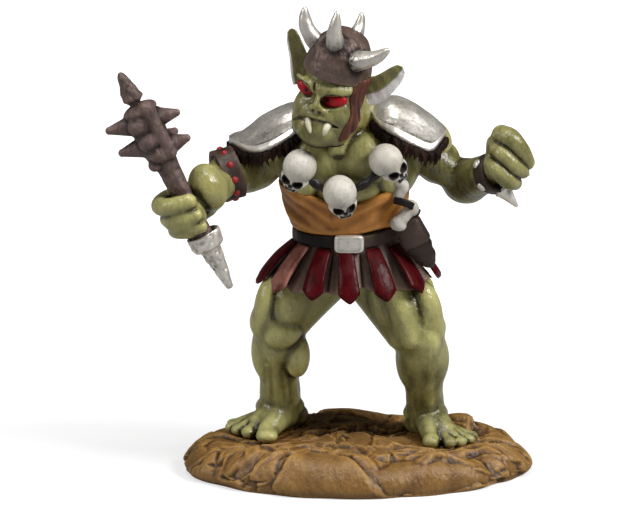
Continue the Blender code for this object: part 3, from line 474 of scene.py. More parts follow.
def mark_relief(mesh, forms, dark, light, depth):
    """Marks each point with how deep it lies in a hollow and how far it stands on a ridge, from 0 to 1.
    The paint darkens the first partly as a wash and partly as painted shade, and lightens the second partly
    as dry-brushed paint and partly as painted highlights.

    The surface is evened out by moving points towards the mean of their neighbours, a few rounds for
    fine relief and many for broad. A point's height over the evened surface, along its normal, as a
    share of the height that counts as full, is its relief.
    """
    points, normals, edges = read_mesh(mesh)
    a, b = edges.T
    count = len(points)
    degree = np.maximum(np.bincount(a, minlength=count) + np.bincount(b, minlength=count), 1)
    even = points.astype(float)
    height = np.zeros(count)
    # Both the fine and the broad relief feed painted shade in the hollows and painted highlights on the
    # ridges, besides the wash and the dry-brushed paint.
    for rounds in range(1, BROAD_RELIEF[0] + 1):
        sums = [np.bincount(a, even[b, i], count) + np.bincount(b, even[a, i], count) for i in range(3)]
        total = np.stack(sums, axis=1)
        even = 0.5 * even + 0.5 * total / degree[:, None]
        for last, full in (FINE_RELIEF, BROAD_RELIEF):
            if rounds == last:
                over = ((points - even) * normals).sum(1)
                height += 0.6 * depth * np.clip(over / full, -1.5, 1.5)
    if forms:
        points, normals = points.astype(float), normals.astype(float)
        hollow, swelling = field_relief(points, normals, forms)
        dark, light = np.maximum(dark, hollow), np.maximum(light, swelling)
        # The walls of cut lines and sockets are darkened, partly as a dark wash and partly as painted shade
        # in these recesses.
        for form in forms:
            if form.cut:
                dark = np.maximum(dark, np.clip(1.3 - np.abs(form.distance(points)) / 0.25, 0, 1))
    # hollow carries the wash and painted shade, and ridge carries the lighter paint and painted highlights.
    mark(mesh, "hollow", np.clip(np.maximum(-height, dark), 0, 1))
    mark(mesh, "ridge", np.clip(np.maximum(height, light), 0, 1))


def add_piece(name, points, faces, material, slot, node=None, forms=None, dark=0.0, light=0.0, depth=1.0):
    """A finished piece: its mesh, its paint, the body it rides on and the node it stands for; its slot is not
    used.
    The forms it was grown from, where there are any, tell its broad relief. Dark and light add
    painted shade and painted highlights to the relief found, and depth is its share."""
    mesh = write_mesh(name, points, faces)
    mark_relief(mesh, forms, dark, light, depth)
    obj = bpy.data.objects.new(name, mesh)
    mesh.materials.append(material)
    bpy.context.scene.collection.objects.link(obj)
    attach(obj, BODY)
    if node:
        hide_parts(node)
    return obj


# Paints

def colour(red, green, blue):
    """A colour given in the screen's own steps from 0 to 255, as linear light."""
    shares = (red / 255, green / 255, blue / 255)
    return tuple(c / 12.92 if c <= 0.04045 else ((c + 0.055) / 1.055) ** 2.4 for c in shares)


def opaque(rgb):
    """A colour kept under full white, with its cover."""
    return (*(min(c, 1.0) for c in rgb), 1.0)


class Nodes:
    """Adds nodes to a node tree and joins them."""

    def __init__(self, tree):
        self.tree = tree

    def add(self, kind, values=None, **settings):
        node = self.tree.nodes.new(kind)
        for name, value in settings.items():
            setattr(node, name, value)
        for socket, value in (values or {}).items():
            self.feed(node.inputs[socket], value)
        return node

    def feed(self, socket, value):
        if isinstance(value, bpy.types.NodeSocket):
            self.tree.links.new(value, socket)
        else:
            socket.default_value = value

    def math(self, operation, first, second=0.0, third=0.0, clamp=False):
        values = {0: first, 1: second}
        if operation == "MULTIPLY_ADD":
            values[2] = third
        return self.add("ShaderNodeMath", values, operation=operation, use_clamp=clamp).outputs[0]

    def mix(self, share, first, second):
        node = self.add("ShaderNodeMix", data_type="RGBA")
        for index, value in ((0, share), (6, first), (7, second)):
            self.feed(node.inputs[index], value)
        return node.outputs[2]

    def noise(self, vector, scale, detail, roughness):
        values = {"Vector": vector, "Scale": scale, "Detail": detail, "Roughness": roughness}
        return self.add("ShaderNodeTexNoise", values).outputs[0]

    def millimetres(self):
        place = self.add("ShaderNodeTexCoord").outputs["Object"]
        return self.add("ShaderNodeVectorMath", {0: place, "Scale": 1 / MM}, operation="SCALE").outputs[0]

    def attribute(self, name):
        return self.add("ShaderNodeAttribute", attribute_name=name).outputs["Fac"]


# The wash tint darkens the hollows, partly as a wash and partly as painted shade. The light tint lightens the
# ridges, partly as dry-brushed paint and partly as painted highlights.
TINTS = ("Wash", "Light", "Glaze")
AMOUNTS = ("Wash Amount", "Light Amount", "Glaze Amount", "Patch Scale", "Patchiness", "Speckle")


def brushed_paint():
    """The node group of a brushed coat: a glaze in soft patches, a thinned dark wash that runs into the
    hollows, with painted shade, a lighter paint dragged over the ridges, with painted highlights,
    uneven cover between them, and brush strokes with the pigment's grain as a height."""
    name = "brushed_paint"
    if name in bpy.data.node_groups:
        return bpy.data.node_groups[name]
    tree = bpy.data.node_groups.new(name, "ShaderNodeTree")
    sockets = (
        ("INPUT", "NodeSocketColor", ("Paint", *TINTS)), ("INPUT", "NodeSocketFloat", AMOUNTS),
        ("OUTPUT", "NodeSocketColor", ("Color",)), ("OUTPUT", "NodeSocketFloat", ("Height", "Roughness")),
    )
    for way, kind, labels in sockets:
        for label in labels:
            tree.interface.new_socket(label, in_out=way, socket_type=kind)
    nodes = Nodes(tree)
    given = nodes.add("NodeGroupInput").outputs
    place = nodes.millimetres()
    longer = {0: place, 1: (1.0, 1.0, 0.45)}
    drawn = nodes.add("ShaderNodeVectorMath", longer, operation="MULTIPLY").outputs[0]
    cover = nodes.noise(drawn, given["Patch Scale"], 5.0, 0.62)
    patch = nodes.math("MULTIPLY_ADD", cover, 2.4, -0.7, clamp=True)
    grain = nodes.math("MULTIPLY_ADD", nodes.noise(place, 1.9, 4.0, 0.65), 2.6, -0.8, clamp=True)
    glazed = nodes.add("ShaderNodeMapRange", {
        "Value": nodes.noise(place, 0.17, 3.0, 0.55), "From Min": 0.42, "From Max": 0.66,
        "To Max": given["Glaze Amount"],
    }, interpolation_type="SMOOTHSTEP").outputs[0]
    centred = nodes.math("SUBTRACT", patch, 0.5)
    uneven = nodes.math("MULTIPLY", centred, given["Patchiness"])
    # The share of the wash: it darkens the hollows, partly as a wash and partly as painted shade, with uneven
    # cover and specks.
    wash_and_painted_shade = nodes.math("MULTIPLY_ADD", nodes.attribute("hollow"), given["Wash Amount"], uneven)
    specks = nodes.math("MULTIPLY", nodes.math("SUBTRACT", grain, 0.5), given["Speckle"])
    wash_and_painted_shade = nodes.math("ADD", wash_and_painted_shade, specks, clamp=True)
    # The share of the lighter paint on the ridges, partly dry-brushed paint and partly a painted highlight.
    raised = nodes.math("MULTIPLY", nodes.attribute("ridge"), given["Light Amount"])
    raised = nodes.math("SUBTRACT", raised, nodes.math("MULTIPLY", uneven, 0.7))
    raised = nodes.math("MULTIPLY", raised, nodes.math("ADD", grain, 0.45), clamp=True)
    raised = nodes.math("MULTIPLY", raised, nodes.math("SUBTRACT", 1.0, wash_and_painted_shade))
    tone = nodes.mix(glazed, given["Paint"], given["Glaze"])
    tone = nodes.mix(wash_and_painted_shade, tone, given["Wash"])
    tone = nodes.mix(raised, tone, given["Light"])
    stroke = nodes.math("MULTIPLY_ADD", nodes.noise(drawn, 0.8, 2.0, 0.5), 2.4, -0.7, clamp=True)
    height = nodes.math("MULTIPLY_ADD", stroke, 1.5, nodes.math("MULTIPLY", grain, 0.3))
    shine = nodes.math("MULTIPLY_ADD", grain, 0.25, 0.38)
    nodes.add("NodeGroupOutput", {"Color": tone, "Height": height, "Roughness": shine})
    return tree


def paint(name, base, tints, amounts, gloss, shine, bump, metal):
    """A material brushed in four paints: the coat, and a wash, a light and a glaze that are tints of
    it. The wash also paints shade into the hollows and the light paints highlights on the ridges. Its
    bump is the brush strokes and the pigment's grain, up to a third of a millimetre deep.
    Without a gloss of its own, its roughness follows the grain."""
    if name in bpy.data.materials:
        return bpy.data.materials[name]
    material = bpy.data.materials.new(name)
    material.use_nodes = True
    nodes = Nodes(material.node_tree)
    shader = material.node_tree.nodes["Principled BSDF"]
    group = nodes.add("ShaderNodeGroup", node_tree=brushed_paint())
    group.inputs["Paint"].default_value = opaque(base)
    for label, tint in zip(TINTS, tints):
        group.inputs[label].default_value = opaque(c * t for c, t in zip(base, tint))
    for label, value in zip(AMOUNTS, amounts):
        group.inputs[label].default_value = value
    strokes = {"Height": group.outputs["Height"], "Strength": bump, "Distance": 0.3 * MM}
    sockets = {
        "Base Color": group.outputs["Color"],
        "Roughness": group.outputs["Roughness"] if gloss is None else gloss,
        "Specular IOR Level": shine,
        "Metallic": metal,
        "Normal": nodes.add("ShaderNodeBump", strokes).outputs[0],
    }
    for socket, value in sockets.items():
        nodes.feed(shader.inputs[socket], value)
    return material


# Flesh

def toe(root, radius, tip, end, pad, half):
    """A toe: a tapered length from the foot, with a rounded pad at its end."""
    return Rod(root, radius, tip, end, 0.45), Egg(pad, half, 0.4)


RIGHT_LEG = (
    Rod((-9.6, 4.2, 38.4), 6.3, (-15.3, 2.0, 30.0), 5.3),
    Rod((-9.6, 8.0, 38.0), 4.6, (-14.8, 6.4, 28.5), 3.8, 2.0),
    Rod((-6.6, 4.2, 37.6), 4.8, (-11.8, 1.6, 31.0), 3.0, 1.6),
    Rod((-14.8, 3.4, 36.4), 4.0, (-17.6, 2.4, 30.0), 3.3, 1.4),
    Egg((-18.0, -0.2, 34.6), (2.3, 3.2, 5.6), 1.6, turned("y", 10)),
    Egg((-18.8, 1.2, 30.4), (2.3, 3.0, 3.0), 1.0),
    Egg((-13.4, -1.4, 35.0), (3.2, 2.6, 4.9), 1.3, turned("y", 6)),
    Rod((-15.3, 1.8, 29.4), 4.9, (-15.3, 3.0, 25.4), 4.8, 0.9),
    Egg((-14.6, -2.0, 28.6), (3.3, 1.6, 2.4), 1.0, turned("y", -10)),
    Rod((-15.6, 3.2, 26.0), 4.6, (-15.3, 7.2, 13.5), 3.7, 1.2),
    Rod((-15.4, 7.6, 24.0), 3.8, (-15.2, 8.6, 17.0), 3.4, 1.5),
    Egg((-18.3, 4.0, 23.4), (2.7, 3.5, 5.2), 1.2),
    Egg((-12.0, 1.0, 23.8), (2.8, 2.9, 4.8), 0.7, turned("y", -4)),
    Rod((-16.4, 0.4, 24.0), 1.4, (-15.4, 4.1, 13.2), 1.1, 0.7),
    Rod((-13.7, 1.3, 25.0), 1.4, (-12.5, 5.2, 13.0), 1.0, 0.6),
    Rod((-15.2, 7.4, 14.0), 3.9, (-15.2, 8.2, 10.0), 4.0, 1.2),
    Egg((-11.6, 7.4, 11.2), (1.3, 1.3, 1.3), 0.9),
    Egg((-18.9, 8.2, 11.0), (1.3, 1.3, 1.3), 0.9),
    Egg((-12.4, 11.4, 8.2), (2.9, 2.8, 2.4), 1.4),
    Rod((-15.6, 6.8, 10.6), 3.6, (-19.4, 4.0, 8.2), 2.5, 1.4),
    Rod((-15.9, 4.6, 9.4), 2.8, (-17.8, 0.6, 7.8), 2.0, 0.9),
    Egg((-17.9, -1.0, 7.3), (2.2, 2.3, 1.4), 0.8, turned("z", 20)),
    *toe((-18.6, 4.6, 8.8), 1.6, (-21.4, 1.4, 7.6), 1.1, (-21.6, 0.9, 7.5), (1.45, 1.6, 1.2)),
    *toe((-19.8, 5.4, 8.7), 1.6, (-23.3, 3.2, 7.5), 1.1, (-23.7, 2.9, 7.4), (1.4, 1.4, 1.1)),
    *toe((-20.4, 6.4, 8.6), 1.6, (-24.5, 5.4, 7.4), 1.0, (-25.0, 5.3, 7.3), (1.35, 1.2, 1.05)),
    *toe((-20.4, 7.6, 8.4), 1.5, (-24.3, 8.2, 7.3), 0.9, (-24.8, 8.3, 7.2), (1.2, 1.0, 0.95)),
    bent(((-14.9, -0.6, 24.6), (-14.4, 1.8, 19.0), (-13.9, 4.0, 13.6)), (0.5, 0.6, 0.5), 0.5),
    bent(((-17.6, 0.6, 22.0), (-17.2, 3.0, 17.0), (-16.8, 4.8, 13.0)), (0.5, 0.6, 0.5), 0.6),
)
LEFT_LEG = (
    Rod((6.2, 3.0, 38.4), 6.3, (12.3, -1.0, 29.0), 5.1),
    Rod((6.2, 7.6, 38.0), 4.6, (12.2, 4.6, 27.5), 3.6, 2.0),
    Rod((3.4, 3.0, 37.2), 4.6, (9.0, -0.4, 28.4), 3.2, 1.6),
    Rod((11.8, 3.0, 36.6), 3.9, (15.0, 0.8, 29.5), 3.0, 1.4),
    Egg((14.4, -2.0, 33.8), (2.8, 2.8, 5.8), 1.5, turned("y", -12)),
    bent(((6.6, -2.4, 39.6), (9.2, -3.8, 34.0), (11.2, -4.9, 28.4)), (2.6, 2.8, 1.7), 1.5, count=30),
    Egg((5.6, -2.0, 34.4), (2.2, 2.4, 5.2), 0.9, turned("y", -24)),
    Rod((12.8, -1.2, 28.0), 4.6, (13.0, 0.0, 24.4), 4.7, 0.9),
    Egg((14.0, -4.3, 27.2), (2.5, 1.8, 2.8), 1.2),
    Rod((13.2, -0.8, 25.0), 4.6, (13.9, 3.4, 13.0), 3.5, 1.2),
    Rod((13.2, 4.6, 23.5), 3.6, (13.8, 5.8, 16.0), 3.0, 1.5),
    Egg((10.7, 0.6, 22.2), (2.6, 3.3, 4.8), 1.2),
    Egg((16.0, 0.9, 22.8), (2.7, 3.3, 4.8), 1.2),
    Rod((14.6, -3.2, 23.5), 1.3, (14.6, 0.9, 12.6), 1.0, 0.7),
    Rod((13.9, 3.9, 13.5), 3.5, (14.0, 4.6, 9.6), 3.6, 1.2),
    Egg((10.7, 3.9, 10.8), (1.2, 1.3, 1.3), 0.9),
    Egg((17.3, 4.7, 10.6), (1.2, 1.3, 1.3), 0.9),
    Egg((12.4, 7.0, 7.9), (2.7, 2.6, 2.3), 1.4),
    Rod((14.6, 3.2, 10.2), 3.4, (18.0, -1.0, 7.8), 2.5, 1.4),
    Rod((14.8, 0.4, 9.2), 2.5, (15.1, -4.0, 7.4), 1.6, 0.7),
    Egg((15.1, -5.0, 7.3), (1.75, 1.9, 1.35), 0.5),
    *toe((16.6, -0.8, 8.4), 1.5, (18.5, -4.6, 7.2), 1.05, (18.8, -5.3, 7.2), (1.35, 1.6, 1.15)),
    *toe((17.8, -1.2, 8.4), 1.5, (20.7, -4.0, 7.1), 1.0, (21.0, -4.5, 7.1), (1.3, 1.45, 1.05)),
    *toe((18.6, -0.6, 8.2), 1.5, (22.3, -2.2, 7.0), 0.95, (22.7, -2.5, 7.0), (1.3, 1.25, 1.0)),
    *toe((19.0, 0.6, 8.0), 1.5, (22.9, 0.3, 6.9), 0.9, (23.4, 0.3, 6.9), (1.15, 1.0, 0.95)),
    bent(((12.4, -4.3, 24.6), (12.6, -2.0, 19.0), (12.8, 0.6, 13.0)), (0.5, 0.6, 0.5), 0.5),
)
TORSO = (
    Rod((-4.2, 4.0, 46.0), 6.0, (-5.4, 3.4, 58.0), 7.4, 0.8),
    Rod((1.4, 4.0, 46.0), 6.4, (1.6, 3.4, 58.0), 7.2, 1.6),
    Rod((-7.4, 2.8, 63.0), 8.4, (4.4, 2.8, 63.0), 8.4, 2.0),
    Rod((-10.0, 4.0, 66.0), 6.3, (-16.6, 4.2, 66.0), 5.4, 1.6),
    Rod((6.6, 4.0, 66.6), 6.3, (13.8, 4.2, 66.4), 5.4, 1.6),
    Rod((-8.6, 8.0, 60.0), 5.6, (-4.8, 7.0, 52.0), 5.2, 1.2),
    Rod((5.6, 8.0, 60.0), 5.6, (1.8, 7.0, 52.0), 5.2, 1.2),
    Rod((-8.0, 5.0, 70.0), 4.6, (-2.4, 3.0, 73.0), 4.6, 1.6),
    Rod((5.0, 5.0, 70.4), 4.6, (-1.4, 3.0, 73.0), 4.6, 1.6),
    Rod((-2.0, 2.6, 70.0), 5.6, (-3.6, -1.4, 74.6), 4.8, 1.2),
    Egg((-8.2, -2.9, 65.0), (5.4, 3.6, 5.0), 1.6, turned("y", 14)),
    Egg((1.4, -2.9, 65.3), (5.4, 3.6, 5.0), 1.6, turned("y", -14)),
    Rod((-5.4, -3.0, 72.4), 1.7, (-4.4, -5.0, 67.6), 1.0, 0.9),
    Rod((-1.2, -2.4, 72.4), 1.7, (-3.2, -4.8, 67.6), 1.0, 0.9),
    bent(((-4.0, -6.6, 68.0), (-3.9, -6.9, 65.4), (-3.6, -6.9, 62.4)), (0.12, 0.25, 0.15), 0.6, True),
    Egg((-1.4, -3.4, 59.2), (6.4, 3.6, 3.2), 1.0),
    Egg((7.0, -2.6, 60.4), (2.6, 3.4, 2.6), 0.8, turned("y", 30)),
    Egg((-9.8, -2.6, 60.2), (2.6, 3.4, 2.6), 0.8, turned("y", -30)),
)
RIGHT_ARM = (
    Rod((-15.5, 4.2, 66.6), 5.4, (-19.8, 5.2, 62.2), 4.7, 0.6),
    Rod((-17.4, 1.4, 66.4), 3.6, (-20.2, 3.4, 62.6), 2.8, 0.8),
    Rod((-18.2, 2.6, 63.4), 3.4, (-21.0, 2.6, 61.4), 3.6, 0.7),
    Rod((-19.8, 5.4, 61.8), 4.6, (-21.6, 3.6, 61.4), 4.4, 1.0),
    Rod((-20.8, 4.6, 61.4), 4.4, (-25.4, -2.0, 61.8), 4.0, 1.0),
    Rod((-22.0, 3.4, 60.2), 3.4, (-24.8, -1.2, 60.4), 2.8, 0.7),
    Rod((-22.6, 4.8, 63.4), 2.6, (-26.4, -2.0, 63.6), 2.0, 0.8),
    Rod((-25.4, -2.0, 61.8), 4.0, (-29.0, -6.0, 60.6), 3.8, 1.0),
)
LEFT_ARM = (
    Rod((12.5, 4.0, 66.6), 5.0, (16.4, 4.4, 62.8), 4.5, 0.6),
    Egg((14.9, 4.8, 67.2), (3.2, 4.0, 3.8), 0.6, turned("y", 40)),
    Rod((15.6, 2.2, 63.2), 3.4, (20.6, 2.6, 60.0), 3.4, 0.7),
    Rod((15.8, 6.2, 62.2), 3.5, (21.4, 6.4, 58.8), 3.4, 0.8),
    Rod((21.6, 5.0, 58.6), 4.4, (22.4, 3.6, 59.0), 4.3, 0.9),
    Rod((22.2, 3.6, 59.0), 4.4, (26.4, -4.8, 62.8), 3.4, 0.9),
    Rod((23.8, 2.0, 59.2), 3.2, (26.6, -4.0, 62.0), 2.7, 0.6),
    Rod((21.6, 1.0, 61.0), 2.6, (25.6, -4.6, 64.2), 2.2, 0.6),
    Rod((26.2, -4.6, 62.8), 3.2, (27.4, -7.0, 64.4), 2.9, 0.8),
)
LEFT_HAND = (
    Rod((26.8, -5.6, 63.2), 2.7, (28.8, -7.2, 65.2), 3.2, 0.8),
    Rod((28.8, -7.6, 64.8), 3.0, (30.2, -7.4, 68.8), 3.3, 1.0),
    bent(((28.9, -8.2, 71.4), (30.6, -9.8, 71.0), (32.6, -9.8, 68.4), (33.9, -8.6, 66.0)),
         (2.1, 2.15, 2.0, 1.6), 0.3, count=24),
    bent(((28.0, -9.6, 69.0), (29.3, -11.2, 68.0), (31.7, -11.2, 65.5), (33.1, -9.6, 64.2)),
         (1.5, 1.65, 1.6, 1.3), 0.2, count=24),
    bent(((26.9, -9.2, 65.9), (28.0, -11.2, 65.1), (30.3, -11.2, 62.9), (31.5, -9.6, 62.0)),
         (1.6, 1.85, 1.8, 1.45), 0.2, count=24),
    Rod((32.4, -7.6, 66.0), 1.6, (31.0, -7.8, 63.2), 1.6, 0.6),
    Rod((27.6, -7.8, 69.6), 1.8, (27.2, -8.0, 66.2), 1.6, 0.6),
)


def right_hand_forms():
    """The fist in the mace's frame: the palm behind the shaft, three fingers bent round it, and the
    ball of the thumb beside it."""
    forms = [
        Rod((7.6, 7.9, 18.7), 3.6, (4.4, 4.6, 19.2), 4.0, 0.8),
        Rod((2.6, 4.2, 16.6), 2.6, (3.0, 4.2, 19.0), 3.0, 1.2),
        Rod((0.2, 4.6, 15.4), 2.0, (0.2, 4.6, 19.6), 2.2, 1.2),
        Egg((4.9, 2.4, 20.0), (3.8, 4.3, 4.9), 1.0, turned("y", 6)),
        Egg((-1.4, -1.4, 17.6), (4.3, 4.2, 4.6), 0.6),
    ]
    angles = np.radians((95, 140, 180, 215, 250, 284))
    bulge = np.array((1.0, 1.03, 1.06, 1.03, 0.95, 0.92))
    for rise, radius, reach in ((14.9, 1.4, 4.3), (17.6, 1.5, 4.6), (20.7, 1.85, 4.6)):
        size = reach * bulge
        x = size * np.cos(angles)
        knots = np.stack((x, size * np.sin(angles), rise - 0.15 * x), axis=1)
        forms.append(bent(knots, (radius, radius, 0.85 * radius), 0.5, count=24))
    return seated(forms, MACE_SEAT)


FACE_SHIFT = 0.3
MOUTH = ((-5.0, -4.6, -7.2), (-3.2, -6.1, -5.9), (0.3, -7.1, -5.2), (2.8, -6.5, -5.2), (4.6, -4.9, -5.6))


def head_forms():
    """The head in its own frame: a wide jaw, a low slanting brow, a flat nose and a mouth drawn down.
    The face sits a little to the left of the head's middle."""
    sides = both_sides((
        Egg((3.6, -3.2, -3.6), (2.5, 2.6, 2.8), 1.4),
        bent(((0.8, -5.9, 1.1), (2.6, -5.4, 1.6), (4.4, -3.7, 2.2)), (0.9, 1.0, 0.8), 1.0),
        Egg((1.1, -6.2, -2.9), (0.85, 1.0, 0.75), 0.35),
        bent(((1.5, -5.9, -3.2), (2.9, -5.5, -4.4), (3.9, -4.6, -6.4)), (0.45, 0.6, 0.5), 0.6),
        Rod((1.4, -5.4, -2.2), 0.4, (4.6, -4.0, -2.0), 0.5, 0.7),
        Rod((4.7, -1.6, -4.6), 1.8, (3.8, -2.6, -8.0), 1.8, 1.4),
    ))
    face = (
        Egg((0.0, -0.6, -1.6), (5.9, 5.5, 6.8), 1.5),
        Rod((-2.6, -1.8, -6.8), 3.6, (2.6, -1.8, -6.8), 3.6, 2.0),
        Egg((0.0, -4.0, -8.2), (4.0, 3.0, 3.0), 1.4),
        Egg((0.0, -4.9, -4.4), (3.5, 2.2, 1.7), 0.9),
        Rod((-2.1, -5.2, -7.2), 1.5, (2.1, -5.2, -7.2), 1.5, 0.9),
        Rod((0.0, -5.7, 0.8), 0.9, (0.0, -6.6, -2.2), 1.2, 0.7),
        *sides,
    )
    forms = (
        Egg((0.0, 0.8, 4.0), (6.3, 6.8, 7.0)),
        *seated(face, Seat((FACE_SHIFT, 0.0, 0.0), np.eye(3))),
        Egg((-3.8, -6.0, -0.05), (2.15, 1.6, 1.5), 0.4, turned("y", 16), True),
        Egg((2.75, -6.2, -0.6), (2.65, 1.7, 1.5), 0.4, turned("y", -16), True),
        bent(((-5.9, -4.6, 1.9), (-3.9, -5.5, 1.5), (-1.7, -6.1, 0.6)), (0.4, 0.5, 0.5), 0.8),
        bent(((0.5, -6.1, 0.5), (2.9, -5.7, 1.15), (5.2, -4.4, 1.7)), (0.5, 0.5, 0.4), 0.8),
        Egg((-0.4, -7.2, -3.3), (0.4, 0.5, 0.3), 0.2, cut=True),
        Egg((1.0, -7.2, -3.3), (0.4, 0.5, 0.3), 0.2, cut=True),
        bent(MOUTH, (0.22, 0.34, 0.36, 0.34, 0.22), 0.3, True, 14),
        bent(((-1.6, -6.3, 1.9), (-1.2, -6.9, 0.4)), (0.15, 0.2), 0.4, True, 4),
    )
    return seated(forms, HEAD_SEAT)


def skull_forms(seat):
    """A small bare skull: a big cranium, a short face with cheekbones, deep slanting sockets and a row
    of teeth."""
    sides = both_sides((
        Rod((1.5, -2.6, -1.2), 0.75, (2.3, -1.4, -1.0), 0.6, 0.5),
        Egg((1.3, -3.2, -0.85), (0.92, 1.3, 0.62), 0.2, turned("y", -20), True),
        Rod((0.35, -3.45, -2.5), 0.08, (0.35, -3.4, -3.2), 0.08, 0.1, True),
        Rod((0.95, -3.25, -2.5), 0.08, (0.9, -3.2, -3.1), 0.08, 0.1, True),
    ))
    forms = (
        Egg((0.0, 0.3, 0.9), (3.35, 3.6, 3.3)),
        Rod((-0.8, -1.7, -1.4), 1.6, (0.8, -1.7, -1.4), 1.6, 0.9),
        Rod((-0.5, -2.1, -2.7), 1.1, (0.5, -2.1, -2.7), 1.1, 0.5),
        *sides,
        Egg((0.0, -3.4, -1.8), (0.26, 0.6, 0.34), 0.15, cut=True),
        Rod((-1.1, -3.4, -2.8), 0.1, (1.1, -3.4, -2.8), 0.1, 0.12, True),
    )
    return seated(forms, seat)


# Ground, cloth, plates and fur

BASE_HALF = (34.7, 22.0)
MEAN_REACH = 27.0
GROUND = 6.0
ROCK_TOP = 7.0
ROCKS = (
    (-2.0, 14.0, 4, 9.0, 4.5, 5.0, 1.8), (24.0, 11.0, -25, 9.0, 5.0, 5.5, 2.2),
    (2.5, 0.8, -37, 8.0, 6.5, 1.5, 2.0), (-17.0, -9.5, 16, 9.0, 6.0, 1.2, 1.0),
    (-14.0, -16.0, 10, 6.5, 5.0, 3.5, 1.2), (0.5, -17.0, 0, 5.5, 5.0, 4.0, 1.1),
    (14.5, -14.5, 8, 6.5, 6.0, 3.5, 1.3), (-30.5, 0.0, 80, 8.0, 4.0, 4.0, 0.5),
    (28.0, -6.0, -50, 5.0, 3.5, 3.5, 0.7),
)
CRACKS = (
    (-25, -13, -19, -8.6, 0.8, 0.8), (-19, -8.6, -10, -7.2, 1.0, 0.7), (-10, -7.2, 0, -8.4, 0.5, 0.7),
    (0, -8.0, 8, -9.0, 0.8, 0.7), (21, -6.6, 27.5, -12, 1.2, 1.1), (-29.4, -14, -26.4, -7, 0.7, 0.8),
    (19.5, 16, 27, 8.5, 0.9, 0.7), (24.5, 16, 31, 8, 0.8, 0.6), (17.5, 12, 23, 7.0, 0.6, 0.6),
    (-10, 3, -5, 7, 0.6, 0.7),
)
NOTCHES = (
    (-71, 5.0, 0.6), (-104, 6.0, 0.5), (-36, 6.0, 0.9), (-143, 6.0, 0.7), (-123, 6.0, 0.4), (-54, 5.0, 0.4),
    (-165, 6.0, 0.3), (116, 6.0, 0.8), (77, 6.0, 0.9), (52, 5.0, 0.6), (140, 6.0, 0.5), (16, 6.0, 0.4),
)
SIDE = (
    (0.70, 1.0, 0.0), (0.80, 0.97, 0.1), (0.88, 0.88, 0.3), (0.945, 0.70, 0.6), (0.985, 0.46, 0.9),
    (1.0, 0.24, 1.0), (0.99, 0.08, 0.7), (0.972, 0.0, 0.0),
)
FEET = ((-18.5, 4.0, 8.0), (16.5, 0.0, 8.0))


def ground_height(x, y):
    """The height of the ground. Each rock is a long hill whose two sides fall off over widths of their
    own, and each crack is a narrow trench along a line."""
    height = GROUND + 0.3 * np.sin(0.16 * x + 0.8) * np.cos(0.21 * y)
    for rx, ry, turn, length, near, far, rise in ROCKS:
        c, s = math.cos(math.radians(turn)), math.sin(math.radians(turn))
        forth, aside = (x - rx) * c + (y - ry) * s, (y - ry) * c - (x - rx) * s
        height = height + rise * bell(forth, length) * bell(aside, np.where(aside > 0, far, near))
    for ax, ay, bx, by, depth, width in CRACKS:
        run_x, run_y = bx - ax, by - ay
        share = np.clip(((x - ax) * run_x + (y - ay) * run_y) / (run_x**2 + run_y**2), 0, 1)
        away = np.hypot(x - ax - share * run_x, y - ay - share * run_y)
        height = height - depth * bell(away, width) * (0.35 + 2.6 * share * (1 - share))
    return height


def edge_line(angle):
    """How far the base's edge lies from the oval at each angle, as a share: each notch is a bell drawn
    in."""
    edge = 1 + 0.008 * np.sin(3 * angle + 0.6) + 0.005 * np.sin(7 * angle + 2)
    for degrees, width, depth in NOTCHES:
        off = np.degrees(np.angle(np.exp(1j * (angle - math.radians(degrees)))))
        edge = edge - depth / MEAN_REACH * bell(off, width)
    return edge


def shards(place, count, lean, step, soft, seed):
    """Broken faces of rock: each point stands on the tilted plane of the nearest of some scattered
    seeds, and between two seeds it passes from one plane to the other over a short way."""
    random = np.random.RandomState(seed)
    out = 1.1 * np.sqrt(random.rand(count))
    turn = 2 * np.pi * random.rand(count)
    rise = ROCK_TOP * np.where(out < 0.85, 1.0, random.rand(count))
    out = np.minimum(out, 1.0)
    seeds = xyz(BASE_HALF[0] * out * np.cos(turn), BASE_HALF[1] * out * np.sin(turn), rise)
    points = place.reshape(-1, 3)
    near = np.argpartition((seeds**2).sum(1) - 2 * points @ seeds.T, 1, axis=1)[:, :2]
    tilt = lean * random.randn(count, 3)
    level = step * random.randn(count)
    away = points[:, None] - seeds[near]
    height = (away * tilt[near]).sum(2) + level[near]
    gap = np.linalg.norm(away, axis=2)
    share = np.clip(0.5 + (gap[:, 1] - gap[:, 0]) / (2 * soft), 0, 1)
    return (height[:, 1] + (height[:, 0] - height[:, 1]) * share).reshape(place.shape[:-1])


